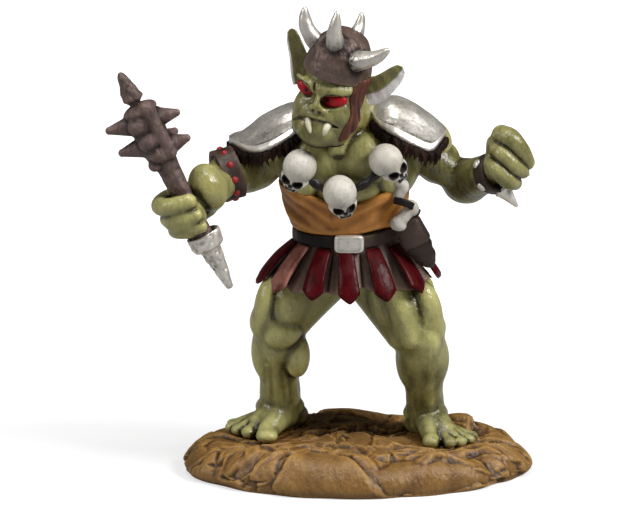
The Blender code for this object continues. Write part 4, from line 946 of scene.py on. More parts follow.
def base_surface():
    """The rocky base on a polar grid: rings run from the middle of the top to its edge, down the side
    and in again under the flat foot. Broken faces and crests of folded noise stand on it, and die away
    under the feet."""
    columns, top_rows, side_rows = 560, 106, 60
    angle = turns(columns)
    top = np.stack((np.linspace(0.004, 0.696, top_rows), np.ones(top_rows), np.zeros(top_rows)), axis=1)
    share, level, outward = np.concatenate((top, along(SIDE, side_rows))).T[:, :, None]
    wander = 0.22 * lumps(xyz(9 * np.cos(angle), 9 * np.sin(angle), 4 * level + 9 * share), 0.35)
    reach = share * (1 + (edge_line(angle + wander) - 1) * np.clip((share - 0.6) / 0.35, 0, 1))
    x = BASE_HALF[0] * reach * np.cos(angle)
    y = BASE_HALF[1] * reach * np.sin(angle)
    bend = 4.0 * drift(xyz(x, y, 0.0), 0.2, (10, 40))
    z = ground_height(x + bend[..., 0], y + bend[..., 1]) * level
    place = xyz(x, y, 1.2 * z)
    place = place + 9.0 * drift(place, 0.09, (10, 40, 70))
    place = place + 1.2 * drift(place, 0.5, (10, 40, 70))
    rock = shards(place * (0.7, 1.2, 1.0), count=70, lean=0.18, step=0.14, soft=0.5, seed=4)
    rock = rock + shards(place * (0.7, 1.4, 1.0), count=420, lean=0.2, step=0.09, soft=0.3, seed=9)
    rock = rock + 0.6 * (ridged(place, 0.16, 3) - 0.62) + 0.24 * (ridged(place + 90, 0.55, 3) - 0.6)
    rock = np.clip(rock, -0.8, 0.8)
    calm = np.ones_like(x)
    for fx, fy, near in FEET:
        calm = calm - 0.7 * np.exp(-(((x - fx) / near) ** 2 + ((y - fy) / near) ** 2) ** 2)
    z = np.maximum(z + rock * calm * level * (1 - outward), 0.0)
    swell = 1 + 0.8 * np.clip(rock, -0.45, 0.4) * outward / BASE_HALF[1]
    return closed_tube(xyz(x * swell, y * swell, z))


HIP = (-1.5, 4.0)
SASH_SPAN, SASH_HALF, SASH_WALL = (49.7, 59.3), (12.0, 9.6), 1.2
BELT_LEVEL, BELT_HALF = 48.4, (10.7, 9.0)
SKIRT_SPAN, SKIRT_HALF, SKIRT_FLARE, SKIRT_WALL = (48.2, 38.9), (9.8, 8.3), (6.7, 4.1), 1.1
FLAP_ROOT, FLAP_ROOT_HALF = 46.9, (11.0, 9.4)


def round_hips(angle, z, half):
    """Points round the hips: an oval of the given half sizes, its angle counted from the front."""
    return xyz(HIP[0] + half[0] * np.sin(angle), HIP[1] - half[1] * np.cos(angle), z)


def sash_surface():
    """The waist sash as a shell: an oval that widens upwards, with shallow folds that run down from
    both sides to the front, and uneven between them."""
    angle = turns(300, -np.pi)
    share = np.linspace(0, 1, 46)[:, None]
    low = SASH_SPAN[0] + 1.3 * bell(angle - 0.7, 0.5)
    high = SASH_SPAN[1] - 2.8 * bell(angle + 0.05, 0.62) + 0.7 * bell(angle - 0.75, 0.35)
    z = low + (high - low) * share
    swell = np.interp(z, (50.0, 54.0, 59.0), (-0.9, 0.2, 1.7))
    around = 11.0 * angle
    spot = xyz(around, z, 0.0)
    slant = z - 0.5 * np.abs(around + 3.0) + 2.0 * noise(spot, 0.1)
    folds = np.sin(0.95 * slant) + 0.5 * np.sin(2.1 * slant + 1.0)
    relief = (0.27 * folds + 0.5 * lumps(spot, 0.35)) * np.clip(5 * share * (1 - share) + 0.15, 0, 1)
    rolled = 0.55 * np.sqrt(np.clip(1 - ((share - 0.5) / 0.5) ** 8, 0, 1))
    drawn = swell - (0.6 + 1.6 * share) * bell(angle - 1.5, 0.6)
    wide, deep = SASH_HALF[0] + drawn, SASH_HALF[1] + swell
    outer = round_hips(angle, z, (wide + relief + rolled, deep + relief + rolled))
    inner = round_hips(angle, z, (wide - SASH_WALL, deep - SASH_WALL))[::-1]
    return closed_ring(np.concatenate((outer, inner)))


def belt_surface(width):
    """The belt: a rounded strip round the hips that climbs a little over the left hip. The third
    answer tells where its paint is worn, from 0 to 1."""
    rows, columns = 20, 220
    angle = turns(columns, -np.pi)
    thick, tall = squared(turns(rows)[:, None], 0.5)
    rise = BELT_LEVEL + 1.1 * bell(angle - 1.0, 0.5)
    out = 0.55 * thick + 0.2 * lumps(xyz(11 * angle, 0.0, 0.0), 0.5)
    half = (BELT_HALF[0] + out, BELT_HALF[1] + out)
    points, faces = closed_ring(round_hips(angle, rise + width / 2 * tall, half))
    worn = ((angle > 0.2) & (angle < 2.6)) | (angle < -1.15)
    return points, faces, np.tile(worn.astype(float), rows)


def skirt_surface():
    """The pleated under-skirt as a shell: a flared oval whose pleats grow deeper towards an uneven hem."""
    angle = turns(520, -np.pi)
    share = np.linspace(0, 1, 40)[:, None]
    top, hem = SKIRT_SPAN
    hem = hem + 0.5 * np.sin(5 * angle + 1.0) + 0.35 * np.sin(11 * angle)
    z = top + (hem - top) * share
    wave = 9.5 * angle + 1.1 * np.sin(3 * angle + 0.6) + 0.4 * share * np.sin(7 * angle)
    pleat = (0.3 + 1.1 * share) * (np.abs(np.sin(wave)) ** 0.7 - 0.75) + 0.12 * share * np.sin(41 * angle)
    flare = share**1.2
    wide, deep = (half + spread * flare for half, spread in zip(SKIRT_HALF, SKIRT_FLARE))
    outer = round_hips(angle, z, (wide + pleat, deep + pleat))
    inner = round_hips(angle, z, (wide - SKIRT_WALL + 0.8 * pleat, deep - SKIRT_WALL + 0.8 * pleat))[::-1]
    return closed_ring(np.concatenate((outer, inner)))


DUSTY_FLAP = 2
FLAPS = (
    (-80, 11.4, 0.0, 2.9), (-55, 11.2, 0.0, 2.6), (-26, 10.9, 0.0, 2.2), (-3, 11.2, 6.0, 2.2),
    (25.5, 11.2, 2.0, 2.3), (55, 11.2, -2.0, 2.6), (96, 11.2, 0.0, 2.8), (130, 11.6, 0.0, 2.5),
    (161, 11.6, 0.0, 2.5), (192, 11.6, 0.0, 2.5), (228, 11.6, 0.0, 2.5),
)


def flap_surface(degrees, length, lean, half, thickness):
    """One kilt flap: a flat strip carried down and out from the belt, bowed a little, cut to a point at
    its end. It is crowned across, and each leans a little to one side."""
    angle = math.radians(degrees)
    out = np.array((math.sin(angle), -math.cos(angle), 0.0))
    across = np.array((math.cos(angle), math.sin(angle), 0.0))
    flare = math.atan2(math.hypot(out[0] * 5.4, out[1] * 3.4) + 1.5, 7.6)
    start = round_hips(angle, FLAP_ROOT, FLAP_ROOT_HALF)
    down = math.sin(flare) * out - math.cos(flare) * np.array((0, 0, 1.0))
    down = unit(down + math.tan(math.radians(lean)) * across)
    front = np.cross(across, down)
    front = front * np.sign(front @ out)
    share = np.concatenate((np.linspace(0, 0.78, 22), np.linspace(0.8, 1.0, 14)))
    bow = 0.55 * np.sin(np.pi * share) - 0.25 * share**3
    path = start + share[:, None] * length * down + bow[:, None] * front
    point = np.clip((1 - share) / 0.17, 0.03, 1)
    widths = np.interp(share, (0, 0.8, 1), (0.7 * half, half, half)) * point**0.7
    heights = thickness / 2 * np.clip((1 - share) / 0.05, 0.25, 1)
    sides = 40
    rings = sweep(path, widths, heights, across, sides, power=4.0)
    turn = turns(sides)
    crown = 0.5 * (1 - np.abs(np.cos(turn))) + 0.25 * np.cos(turn) * np.sin(degrees)
    wave = crown * share[:, None] ** 0.5 + 0.25 * lumps(rings + degrees, 0.4)
    return closed_tube(rings + front * wave[..., None])


def dome_rings(half, height, rows, sides, power):
    """Rings of a dome from its top to its rim: an oval plan, and a height that falls as a power of the
    way out."""
    share = np.sin(np.linspace(0.02, np.pi / 2, rows))
    angle = turns(sides)
    x = half[0] * share[:, None] * np.cos(angle)
    y = half[1] * share[:, None] * np.sin(angle)
    z = (height * (1 - share**power) ** (1 / power))[:, None]
    return share, angle, xyz(x, y, z)


PLATES = {
    "right": (
        (-8.4, 3.6, 74.6, 0.6, 0.2), (-10.4, 3.4, 75.5, 6.6, 3.4), (-14.6, 3.2, 74.6, 9.4, 5.0),
        (-18.6, 2.8, 72.6, 9.6, 4.9), (-21.8, 2.4, 70.2, 7.2, 2.8), (-24.0, 2.0, 68.8, 4.0, 0.9),
        (-25.4, 1.8, 68.2, 0.5, 0.1),
    ),
    "left": (
        (2.4, 3.0, 74.2, 0.6, 0.2), (4.6, 2.8, 75.9, 6.8, 3.6), (8.0, 2.8, 76.6, 9.6, 5.8),
        (11.6, 2.8, 75.2, 10.0, 6.2), (14.8, 2.6, 73.0, 8.8, 5.4), (16.8, 2.2, 71.2, 5.4, 2.4),
        (18.0, 2.0, 69.7, 0.5, 0.1),
    ),
}


def plate_points(side, along_it, across_it, shrink=1.0, lower=0.0):
    """Points of a shoulder plate. Its crest runs outwards along a curve, and at each place on it the
    plate falls to front and back as a power of the way to its rim."""
    rows = along(PLATES[side], 400)
    x, y, z, half, drop = (np.interp(along_it, np.linspace(0, 1, 400), rows[:, i]) for i in range(5))
    fall = drop * np.abs(across_it) ** 2.1
    return xyz(x, y + shrink * half * across_it, z - fall - lower)


def pauldron_surface(side):
    """A shoulder plate: a beaten arch that runs out to a low tip, with a raised rim, and hollow
    underneath. The third answer is painted shade: dark in the groove inside the rim, a little dark over
    the field within it and half dark on the underside. The fourth is a painted highlight on the rim."""
    ahead = np.linspace(0, 1, 90)[:, None]
    across = np.sin(np.linspace(-np.pi / 2, np.pi / 2, 120))
    outer = plate_points(side, ahead, across)
    place = outer + (17.0 if side == "left" else 55.0)
    beaten = sum(height * lumps(place, scale) for height, scale in ((0.35, 0.35), (0.06, 0.95), (0.07, 2.2)))
    edge = np.maximum(np.abs(across), np.abs(2 * ahead - 1) ** 3)
    rim = np.clip((edge - 0.88) / 0.03, 0, 1)
    groove = bell(edge - 0.84, 0.035)
    dish = 0.7 * bell(np.abs(across) - 0.62, 0.2) * np.sin(np.pi * ahead)
    outer[..., 2] += beaten * (1 - 0.4 * rim) + 0.6 * rim - dish
    outer[..., 1] += 0.5 * beaten * across
    inner = plate_points(side, ahead, across, 0.95, 0.6)[:, ::-1]
    points, faces = closed_tube(np.concatenate((outer, inner), axis=1))
    # Painted shade in the groove, over the field and under the plate, and a painted highlight on the rim.
    dark = np.concatenate((0.7 * groove + 0.1 * (1 - rim), np.full_like(rim, 0.5)), axis=1)
    light = np.concatenate((rim, 0 * rim), axis=1)
    return points, faces, np.append(dark, (0.0, 0.0)), np.append(light, (0.0, 0.0))


def many_tubes(rings):
    """Many like tubes in one mesh: rings of shape (tubes, rows, sides, 3), each closed at both ends."""
    count, rows, sides = rings.shape[:3]
    _, faces = closed_tube(rings[0])
    each = rows * sides + 2
    ends = (rings[:, :1].mean(2), rings[:, -1:].mean(2))
    points = np.concatenate((rings.reshape(count, -1, 3), *ends), axis=1)
    step = each * np.arange(count)[:, None, None]
    return points.reshape(-1, 3), [(block[None] + step).reshape(-1, block.shape[1]) for block in faces]


def tuft_rings(roots, leads, falls, lengths, widths):
    """Tufts of fur: each runs from its root along its lead, bends towards its fall, and tapers to a
    point."""
    share = np.array((0.0, 0.25, 0.5, 0.75, 1.0))
    path = roots[:, None] + lengths[:, None, None] * (
        leads[:, None] * share[None, :, None] + falls[:, None] * (share**2)[None, :, None]
    )
    ahead = unit(np.gradient(path, axis=1))
    side = unit(np.cross(ahead, leads[:, None] + np.array((0.31, 0.17, 0.93))))
    rise = np.cross(ahead, side)
    angle = turns(5)
    taper = np.array((0.75, 1.0, 0.85, 0.5, 0.08))
    size = widths[:, None, None, None] * taper[None, :, None, None]
    wide = size * np.cos(angle)[None, None, :, None] * side[:, :, None]
    return path[:, :, None] + wide + 0.6 * size * np.sin(angle)[None, None, :, None] * rise[:, :, None]


def fur_surfaces(side, tufts, length):
    """Fur under a shoulder plate: a dark bed that follows the plate from below, and thick tufts that
    roll out and down from its rim in three rows. With the tufts comes how far along its tuft each point
    lies."""
    random = np.random.RandomState(3 if side == "left" else 5)
    ahead = np.linspace(0.02, 0.96, 40)[:, None]
    across = np.linspace(-1, 1, 50)
    top = plate_points(side, ahead, across, 0.95, 1.0)
    bed = np.concatenate((top, plate_points(side, ahead, across, 0.85, 2.4)[:, ::-1]), axis=1)
    place = np.clip((np.arange(tufts) + random.rand(tufts)) / tufts, 0.04, 0.97)
    edge = np.where(random.rand(tufts) < 0.6, -1.0, 1.0)
    row = random.randint(0, 3, tufts)
    roots = plate_points(side, place, edge * (0.84 + 0.06 * row), 0.97, 1.3 - 0.2 * row)
    beyond = plate_points(side, place + 0.01, edge, 1.0) - plate_points(side, place - 0.01, edge, 1.0)
    outward = unit(np.cross(beyond, (0.0, 0.0, 1.0)))
    outward = outward * np.sign(outward[:, 1] * edge)[:, None]
    sway = 0.7 * (random.rand(tufts, 3) - 0.5)
    leads = unit(0.9 * outward + np.array((0, 0, -0.5)) + sway)
    falls = np.array((0, 0, -0.6)) - 0.7 * outward + 0.5 * (random.rand(tufts, 3) - 0.5)
    lengths = (length + random.rand(tufts)) * np.where(place > 0.8, 0.6, 1.0)
    widths = 0.55 + 0.35 * random.rand(tufts)
    points, faces = many_tubes(tuft_rings(roots, leads, falls, lengths, widths))
    share = np.tile(np.concatenate((np.repeat((0.0, 0.0, 0.1, 0.55, 1.0), 5), (0.0, 1.0))), tufts)
    return closed_tube(bed), (points, faces, share)


# Helmet

HELMET_HALF, HELMET_HEIGHT = (6.6, 7.3), 8.8
HORNS = {
    "helmet_horn_front": ((-0.1, -3.8, 10.0), (-0.1, -5.5, 12.1), (-0.2, -6.1, 14.6), (-0.5, -6.2, 17.7)),
    "helmet_horn_right": ((-4.4, -0.8, 8.0), (-6.9, -1.2, 10.0), (-8.4, -1.4, 12.4), (-8.9, -1.6, 14.9)),
    "helmet_horn_left": ((4.4, -2.8, 8.0), (6.6, -3.3, 9.0), (8.9, -3.6, 10.5), (11.2, -3.6, 12.9)),
    "helmet_horn_back": ((0.7, 3.4, 10.0), (0.8, 5.0, 11.6), (0.7, 5.7, 13.2), (0.4, 5.9, 15.2)),
}


def horn_radii(share):
    """A horn's radius along its length: it falls evenly, and closes in at the tip."""
    return (2.15 - 1.2 * share) * np.sqrt(np.clip(1 - share**6, 0.012, 1))


def helmet_surface():
    """The helmet in the head's frame: a beaten dome that ends in a rolled brim, closed a little way
    inside. The third answer darkens it round the roots of the horns, partly as a dark wash and partly as
    painted shade."""
    share, angle, rings = dome_rings(HELMET_HALF, HELMET_HEIGHT, rows=80, sides=220, power=2.15)
    middle = np.array((0.0, 0.4, 4.0))
    rings = rings @ turned("y", 3).T + middle
    brim = np.clip((share - 0.992) / 0.006, 0, 1)[:, None]
    beaten = 0.5 * (ridged(rings + 30, 0.16, 2) - 0.6) + 0.22 * lumps(rings, 0.8)
    rings = rings + unit(rings - middle) * (0.12 * brim + beaten * (1 - 0.7 * brim))[..., None]
    roll = np.linspace(0, np.pi, 8)[:, None]
    drawn = 0.3 * (np.cos(roll) - 1)
    fold = rings[-1:] + xyz(drawn * np.cos(angle), drawn * np.sin(angle), -0.5 * np.sin(roll) - 0.25)
    inside = rings[-1:] * (0.86, 0.86, 1.0) + (0.0, 0.0, 0.4)
    points, faces = closed_tube(np.concatenate((rings, fold, inside)))
    # Round the horn roots the helmet is darkened, partly as a dark wash and partly as painted shade.
    gap = np.full(len(points), 9.0)
    for knots in HORNS.values():
        for place, radius in zip(along(knots, 12), horn_radii(np.linspace(0, 1, 12))):
            gap = np.minimum(gap, np.linalg.norm(points - place, axis=1) - radius)
    return HEAD_SEAT.world(points), faces, np.clip(1.5 - gap / 0.8, 0, 1)


def horn_surface(name):
    """A horn: rings carried along a bent path, swelling from the root and closing in a blunt tip. The
    third answer darkens it, most at its root and evenly over its outer part, partly as a dark wash and
    partly as painted shade."""
    rows, sides = 44, 28
    share = np.linspace(0, 1, rows)
    slim = {"helmet_horn_back": 0.8, "helmet_horn_left": 1.1}.get(name, 1.0)
    radii = slim * horn_radii(share)
    rings = sweep(along(HORNS[name], rows), radii, 0.94 * radii, (0.0, 1.0, 0.2), sides)
    rings = rings + 0.18 * lumps(rings, 0.9)[..., None]
    points, faces = closed_tube(HEAD_SEAT.world(rings))
    # Darker towards the root, partly as a dark wash and partly as painted shade.
    root = np.clip(1.0 - share / 0.6, 0.3, 1)
    return points, faces, np.concatenate((root.repeat(sides), (1.0, 0.0)))


def cast(forms, starts, directions, reach):
    """The last place where each ray meets grown forms, found by halving the stretch between inside and
    outside."""
    low, high = np.zeros(len(starts)), np.full(len(starts), float(reach))
    for _ in range(18):
        middle = (low + high) / 2
        within = grown(starts + middle[:, None] * directions, forms) < 0
        low, high = np.where(within, middle, low), np.where(within, high, middle)
    return starts + low[:, None] * directions


def strap_surfaces(forms):
    """The leather side pieces of the chin strap: a patch of the head's own surface, lifted and grooved
    downwards, that narrows under the jaw. Its rays leave the head's upright axis."""
    rows, columns = 40, 60
    share = np.linspace(0, 1, rows)[:, None]
    across = np.linspace(-1, 1, columns)
    centre = np.interp(share, (0, 0.55, 1), (86, 79, 54))
    spread = np.interp(share, (0, 0.25, 0.7, 0.9, 1), (25, 23, 14, 7, 1.5))
    start = xyz(0.0, -0.4, np.broadcast_to(4.2 - 12.6 * share, (rows, columns)))
    edge = np.sqrt(np.clip(1 - np.abs(across) ** 6, 0, 1))
    surfaces = []
    for sign, back in ((1, 0), (-1, 34)):
        angle = np.radians(centre + back + spread * across)
        groove = 0.16 * np.sin(26 * angle + 1.2 * np.sin(5 * share))
        outward = xyz(sign * np.sin(angle), -np.cos(angle), 0.0)
        rays = outward.reshape(-1, 3) @ HEAD_SEAT.matrix.T
        met = HEAD_SEAT.local(cast(forms, HEAD_SEAT.world(start.reshape(-1, 3)), rays, 11))
        met = met.reshape(start.shape)
        outer = met + outward * (0.15 + (0.6 + groove) * edge)[..., None]
        inner = met - 0.5 * outward
        surfaces.append(closed_tube(HEAD_SEAT.world(np.concatenate((outer, inner[:, ::-1]), axis=1))))
    points = np.concatenate([points for points, _ in surfaces])
    count = len(surfaces[0][0])
    faces = [block + step for step, (_, blocks) in zip((0, count), surfaces) for block in blocks]
    return points, faces


def chin_line(forms):
    """The thin thong that joins the strap's ends: it lies where rays from inside the jaw, slanting
    down, leave it."""
    count = 70
    swing = np.radians(np.linspace(-84, 84, count))
    dip = np.radians(27 + 33 * np.cos(swing) ** 0.8)
    rays = xyz(np.sin(swing) * np.cos(dip), -np.cos(swing) * np.cos(dip), -np.sin(dip))
    start = np.broadcast_to((0.0, -1.8, -5.6), (count, 3))
    path = cast(forms, HEAD_SEAT.world(start), rays @ HEAD_SEAT.matrix.T, 12)
    size = np.full(count, 0.22)
    return closed_tube(sweep(path, size, size, (0.0, 0.3, 1.0), sides=10))


# Each ear: the knots of its middle line, the way across it, its size and the painted shade that darkens the
# whole ear.
EARS = {
    "right_ear": (
        ((-6.8, 1.6, -1.6), (-8.5, 1.9, 2.4), (-10.5, 2.2, 5.6), (-12.1, 2.4, 8.3)),
        (0.91, 0.0, 0.41), 0.8, 0.6,
    ),
    "left_ear": (
        ((6.2, 1.6, 0.8), (9.0, 1.7, 2.8), (11.0, 2.0, 5.4), (12.6, 2.3, 8.2)),
        (-0.66, 0.0, 0.75), 1.0, 0.0,
    ),
}


def ear_surface(name):
    """An ear: a flat oval carried out to a blunt point, dished along its middle. The third answer tells
    how far each point lies towards the lower edge, from -1 to 1, and the fourth is the painted shade
    that darkens the whole ear."""
    knots, across, size, shade = EARS[name]
    rows, sides = 44, 40
    share = np.linspace(0, 1, rows)
    widths = size * np.interp(share, (0, 0.2, 0.45, 0.8, 0.95, 1), (2.6, 2.9, 2.4, 1.8, 1.2, 0.4))
    heights = np.interp(share, (0, 0.85, 1), (0.8, 0.6, 0.2))
    rings = sweep(along(knots, rows), widths, heights, across, sides, power=2.4)
    lower = -np.cos(turns(sides))
    dish = 1.1 * size * (1 - lower**2) * (1 - share)[:, None] ** 0.5
    uneven = 0.25 * lumps(rings, 0.7)
    rings[..., 1] += dish + uneven
    points, faces = closed_tube(HEAD_SEAT.world(rings))
    towards = np.broadcast_to(lower - 0.55 * (size < 1), (rows, sides)).ravel()
    return points, faces, np.concatenate((towards, (-1.0, -1.0))), shade


def ball_rings(half):
    """Rings of an ellipsoid from its front pole to its back one."""
    rows, sides = 24, 32
    rise = np.linspace(0.03, np.pi - 0.03, rows)[:, None]
    angle = turns(sides)
    out = np.sin(rise)
    return xyz(half[0] * out * np.cos(angle), -half[1] * np.cos(rise), half[2] * out * np.sin(angle))


PUPIL_REACH = 0.95
EYES = {
    "right_eye": ((-3.8, -4.2, -0.05), (2.2, 1.15, 1.45), 16, (0.5, -0.15)),
    "left_eye": ((2.55, -4.5, -0.6), (2.75, 1.25, 1.6), -16, (-1.05, 0.1)),
}


def eye_surface(name):
    """An eye: an ellipsoid set in its socket. The third answer is 1 in the pupil's middle and falls off
    from it."""
    place, half, tilt, (pupil_x, pupil_z) = EYES[name]
    points, faces = closed_tube(ball_rings(half))
    pupil = 1 - np.hypot(points[:, 0] - pupil_x, points[:, 2] - pupil_z) / PUPIL_REACH
    return HEAD_SEAT.world(Seat(place, turned("y", tilt)).world(points)), faces, np.clip(pupil, 0, 1)


FANGS = {
    "right_fang": ((-1.4, -5.2, -5.3), (-0.9, -6.7, -6.2), (0.2, -7.3, -7.9)),
    "left_fang": ((2.8, -5.1, -5.3), (2.9, -6.5, -6.2), (2.9, -7.0, -7.6)),
}


def fang_surface(name):
    """A fang: a bent cone with a rounded tip."""
    share = np.linspace(0, 1, 20)
    radii = (0.85 - 0.4 * share) * np.sqrt(np.clip(1 - share**5, 0.02, 1))
    return closed_tube(HEAD_SEAT.world(sweep(along(FANGS[name], 20), radii, radii, (1.0, 0.0, 0.0), 16)))


# Necklace and hip

CORD_PATH = (
    (-15.0, -3.4, 68.0), (-11.8, -6.2, 64.2), (-7.4, -8.2, 61.0), (-3.0, -8.4, 59.4),
    (1.6, -8.2, 61.4), (6.4, -6.4, 65.4), (9.6, -3.6, 69.2),
)
POUCH_KNOTS = (
    (10.2, -2.6, 53.2, 1.9, 1.3), (11.2, -2.9, 50.2, 2.4, 1.9), (12.8, -3.0, 46.8, 2.6, 2.0),
    (14.4, -2.6, 44.2, 1.8, 1.4), (15.3, -2.4, 42.7, 0.3, 0.3),
)
POUCH_ACROSS = (0.93, 0.0, 0.36)
POUCH_SIDES = 36
LID_ROWS, LID_LIFT = 19, 0.4
HIP_LOOP = ((7.6, -6.0, 57.5), (9.4, -6.6, 57.2), (11.2, -5.8, 56.2), (12.4, -3.2, 54.2))
BONE_UPPER = (
    Rod((8.5, -5.2, 58.4), 1.15, (9.3, -5.0, 60.4), 1.2, 0.4),
    Egg((8.6, -5.3, 60.9), (1.2, 1.1, 0.9), 0.5),
    Egg((9.5, -5.2, 59.8), (0.9, 1.0, 1.0), 0.5),
)
BONE_LOWER = (
    Rod((8.3, -5.4, 52.6), 1.35, (11.0, -4.8, 55.6), 1.25, 0.4),
    Egg((8.1, -5.5, 52.6), (1.3, 1.3, 1.3), 0.6),
    Egg((8.9, -5.5, 52.0), (1.1, 1.2, 0.9), 0.5),
    Egg((11.0, -4.9, 56.4), (1.2, 1.3, 0.9), 0.5, turned("y", 20)),
    Egg((11.6, -4.8, 55.2), (0.9, 1.2, 1.2), 0.5, turned("y", 20)),
    Rod((9.4, -6.8, 54.6), 0.2, (11.0, -6.3, 56.2), 0.2, 0.3, True),
)


def cord_surface():
    """The necklace cord: a thick tube with two strands that wind round each other."""
    rows, sides = 160, 20
    path = along(CORD_PATH, rows)
    size = np.full(rows, 0.8)
    rings = sweep(path, size, size, (0.0, -1.0, 0.2), sides)
    strand = 1 + 0.2 * np.cos(2 * turns(sides) + 0.45 * np.arange(rows)[:, None])
    return closed_tube(path[:, None] + (rings - path[:, None]) * strand[..., None])


def pouch_line():
    """The middle of the pouch from top to bottom, with its half widths and half depths."""
    rows = along(POUCH_KNOTS, 40)
    return rows[:, :3], rows[:, 3], rows[:, 4]


def pouch_surface():
    """The pouch: ovals carried down a leaning line, full below and drawn to a point at the bottom."""
    path, widths, heights = pouch_line()
    crease = 1 + 0.05 * np.sin(np.linspace(0, 30, len(path)))
    return closed_tube(sweep(path, widths * crease, heights * crease, POUCH_ACROSS, POUCH_SIDES, power=2.3))


def pouch_lid_surface():
    """The pouch's lid: the pouch's own ovals a little larger, over its upper part only."""
    path, widths, heights = (part[:LID_ROWS] for part in pouch_line())
    roll = np.sqrt(np.clip(1 - np.linspace(-1, 1, LID_ROWS) ** 10, 0.05, 1))
    wide, deep = (widths + LID_LIFT) * roll, (heights + LID_LIFT) * roll
    return closed_tube(sweep(path, wide, deep, POUCH_ACROSS, POUCH_SIDES, power=2.6))


def hip_loop_surface():
    """The strap that holds the bones: a squarish strip carried round them."""
    path = along(HIP_LOOP, 30)
    size = np.ones(len(path))
    return closed_tube(sweep(path, 0.75 * size, 0.4 * size, (0.2, 0.0, 1.0), sides=16, power=3.0))


# Wrists

def ring_seat(place, axis):
    """A seat whose Z runs along an axis."""
    z = unit(np.array(axis, float))
    x = unit(np.cross((0.0, 0.0, 1.0), z))
    return Seat(place, np.stack((x, np.cross(z, x), z), axis=1))


BRACELET_RADIUS, BRACER_RADIUS, BRACER_SPIKE_RADIUS = 5.2, 4.1, 1.6
BRACELET_SEAT = ring_seat((-25.6, -2.0, 61.9), (-0.93, -0.28, -0.24))
BRACER_SEAT = ring_seat((27.6, -6.0, 63.2), (0.50, -0.78, 0.36))
BRACER_SPIKES = {
    "bracer_spike_1": ((29.0, -7.0, 60.2), (0.64, -0.22, -0.73), 4.8),
    "bracer_spike_2": ((30.2, -4.2, 64.2), (0.92, -0.05, -0.42), 4.8),
}


def cuff_surface(seat, radius, width, thickness):
    """A cuff: a squarish profile carried round a circle, flared to both edges and worn unevenly."""
    angle = turns(160)
    thick, tall = squared(turns(24)[:, None], 0.45)
    z = width / 2 * tall
    wear = lumps(xyz(radius * np.cos(angle), radius * np.sin(angle), z) + 20, 0.5)
    size = radius + thickness * (thick - 1) + 0.3 * wear + 0.25 * tall**2
    return closed_ring(seat.world(xyz(size * np.cos(angle), size * np.sin(angle), z)))


def stud_rings(seat, radius, count, size, height):
    """Round studs set evenly on a cuff: half balls that point away from its axis."""
    angle = 2 * np.pi * np.arange(count) / count
    rise = np.linspace(0, np.pi / 2 - 0.05, 7)
    around = turns(14)
    c, s = np.cos(angle)[:, None, None], np.sin(angle)[:, None, None]
    lift = (radius - 0.3 + (height + 0.3) * np.sin(rise))[:, None]
    disc = size * np.cos(rise)[:, None]
    aside = disc * np.cos(around)
    return seat.world(xyz(c * lift - s * aside, s * lift + c * aside, disc * np.sin(around)))


def cone_surface(place, axis, length, radius):
    """A spike: a cone with a beaded foot and a rounded tip."""
    shares = ((1.15, 0.0), (1.2, 0.12), (1.0, 0.2), (0.55, 0.62), (0.22, 0.95), (0.025, 1.0))
    rings = turned_rings(np.multiply(shares, (radius, length)), sides=24, count=26)
    return closed_tube(ring_seat(place, axis).world(rings))


# Mace

MACE_SPIKES = (
    (-4, 37.4, 7.3, -0.20), (64, 37.0, 6.8, 0.0), (126, 38.0, 6.8, 0.0), (182, 36.9, 7.9, 0.24),
    (-10, 31.0, 7.0, -0.05), (48, 31.8, 6.6, 0.0), (112, 32.6, 6.6, 0.0), (178, 32.2, 7.7, 0.16),
)


def mace_head_forms():
    """The mace head: a knobbly barrel with a flat cap, and fat blunt cones all round it, grown together."""
    forms = [
        Rod((0, 0, 31.6), 3.2, (0, 0, 38.6), 3.5),
        Egg((0.2, 0.0, 40.6), (3.6, 3.5, 1.5), 0.4),
        bent(((1.7, -1.9, 40.6), (1.6, -2.1, 36.0), (1.8, -1.8, 31.0)), (1.8, 1.6, 1.7), 0.5),
        Egg((-1.3, -2.3, 38.2), (2.2, 1.7, 1.9), 0.8, turned("y", 20)),
        Egg((-0.9, -2.6, 34.7), (2.1, 1.7, 1.8), 0.8, turned("y", -15)),
        Egg((-0.2, -2.5, 31.4), (1.9, 1.6, 1.6), 0.8, turned("y", 20)),
        Egg((-2.0, -1.6, 29.6), (1.3, 1.4, 1.3), 0.4),
        Rod((0, 0, 28.4), 2.4, (0, 0, 30.8), 2.7, 0.4),
    ]
    for degrees, rise, reach, tilt in MACE_SPIKES:
        out = np.array((math.cos(math.radians(degrees)), math.sin(math.radians(degrees)), tilt))
        foot = np.array((0, 0, rise + 1.0))
        forms.append(Rod(foot + 2.2 * out, 2.35, foot + (reach - 0.8) * out, 0.8, 0.4))
    return seated(forms, MACE_SEAT)


MACE_TURNED = {
    "mace_shaft": ("iron", 0.12, (
        (1.2, 9.4), (2.05, 9.6), (2.0, 14.0), (2.1, 22.0), (2.2, 28.0), (2.2, 29.2), (1.2, 29.4),
    )),
    "mace_finial": ("iron", 0.3, (
        (0.9, 40.4), (1.6, 40.7), (1.35, 41.4), (1.15, 42.2), (1.5, 42.8), (2.0, 43.4), (1.9, 44.4),
        (1.4, 46.4), (0.85, 48.3), (0.4, 49.1), (0.08, 49.3),
    )),
    "mace_collar": ("silver", 0.14, (
        (1.4, 9.1), (2.6, 9.2), (3.1, 9.6), (3.35, 10.6), (3.5, 12.2), (3.3, 12.6), (2.9, 12.3), (2.4, 11.2),
        (2.0, 10.6),
    )),
    "mace_pommel": ("silver", 0.22, (
        (0.08, 0.0), (0.6, 0.15), (0.85, 0.9), (1.15, 2.6), (1.55, 5.0), (1.95, 7.6), (2.2, 9.4), (2.0, 9.8),
        (1.4, 9.8),
    )),
}


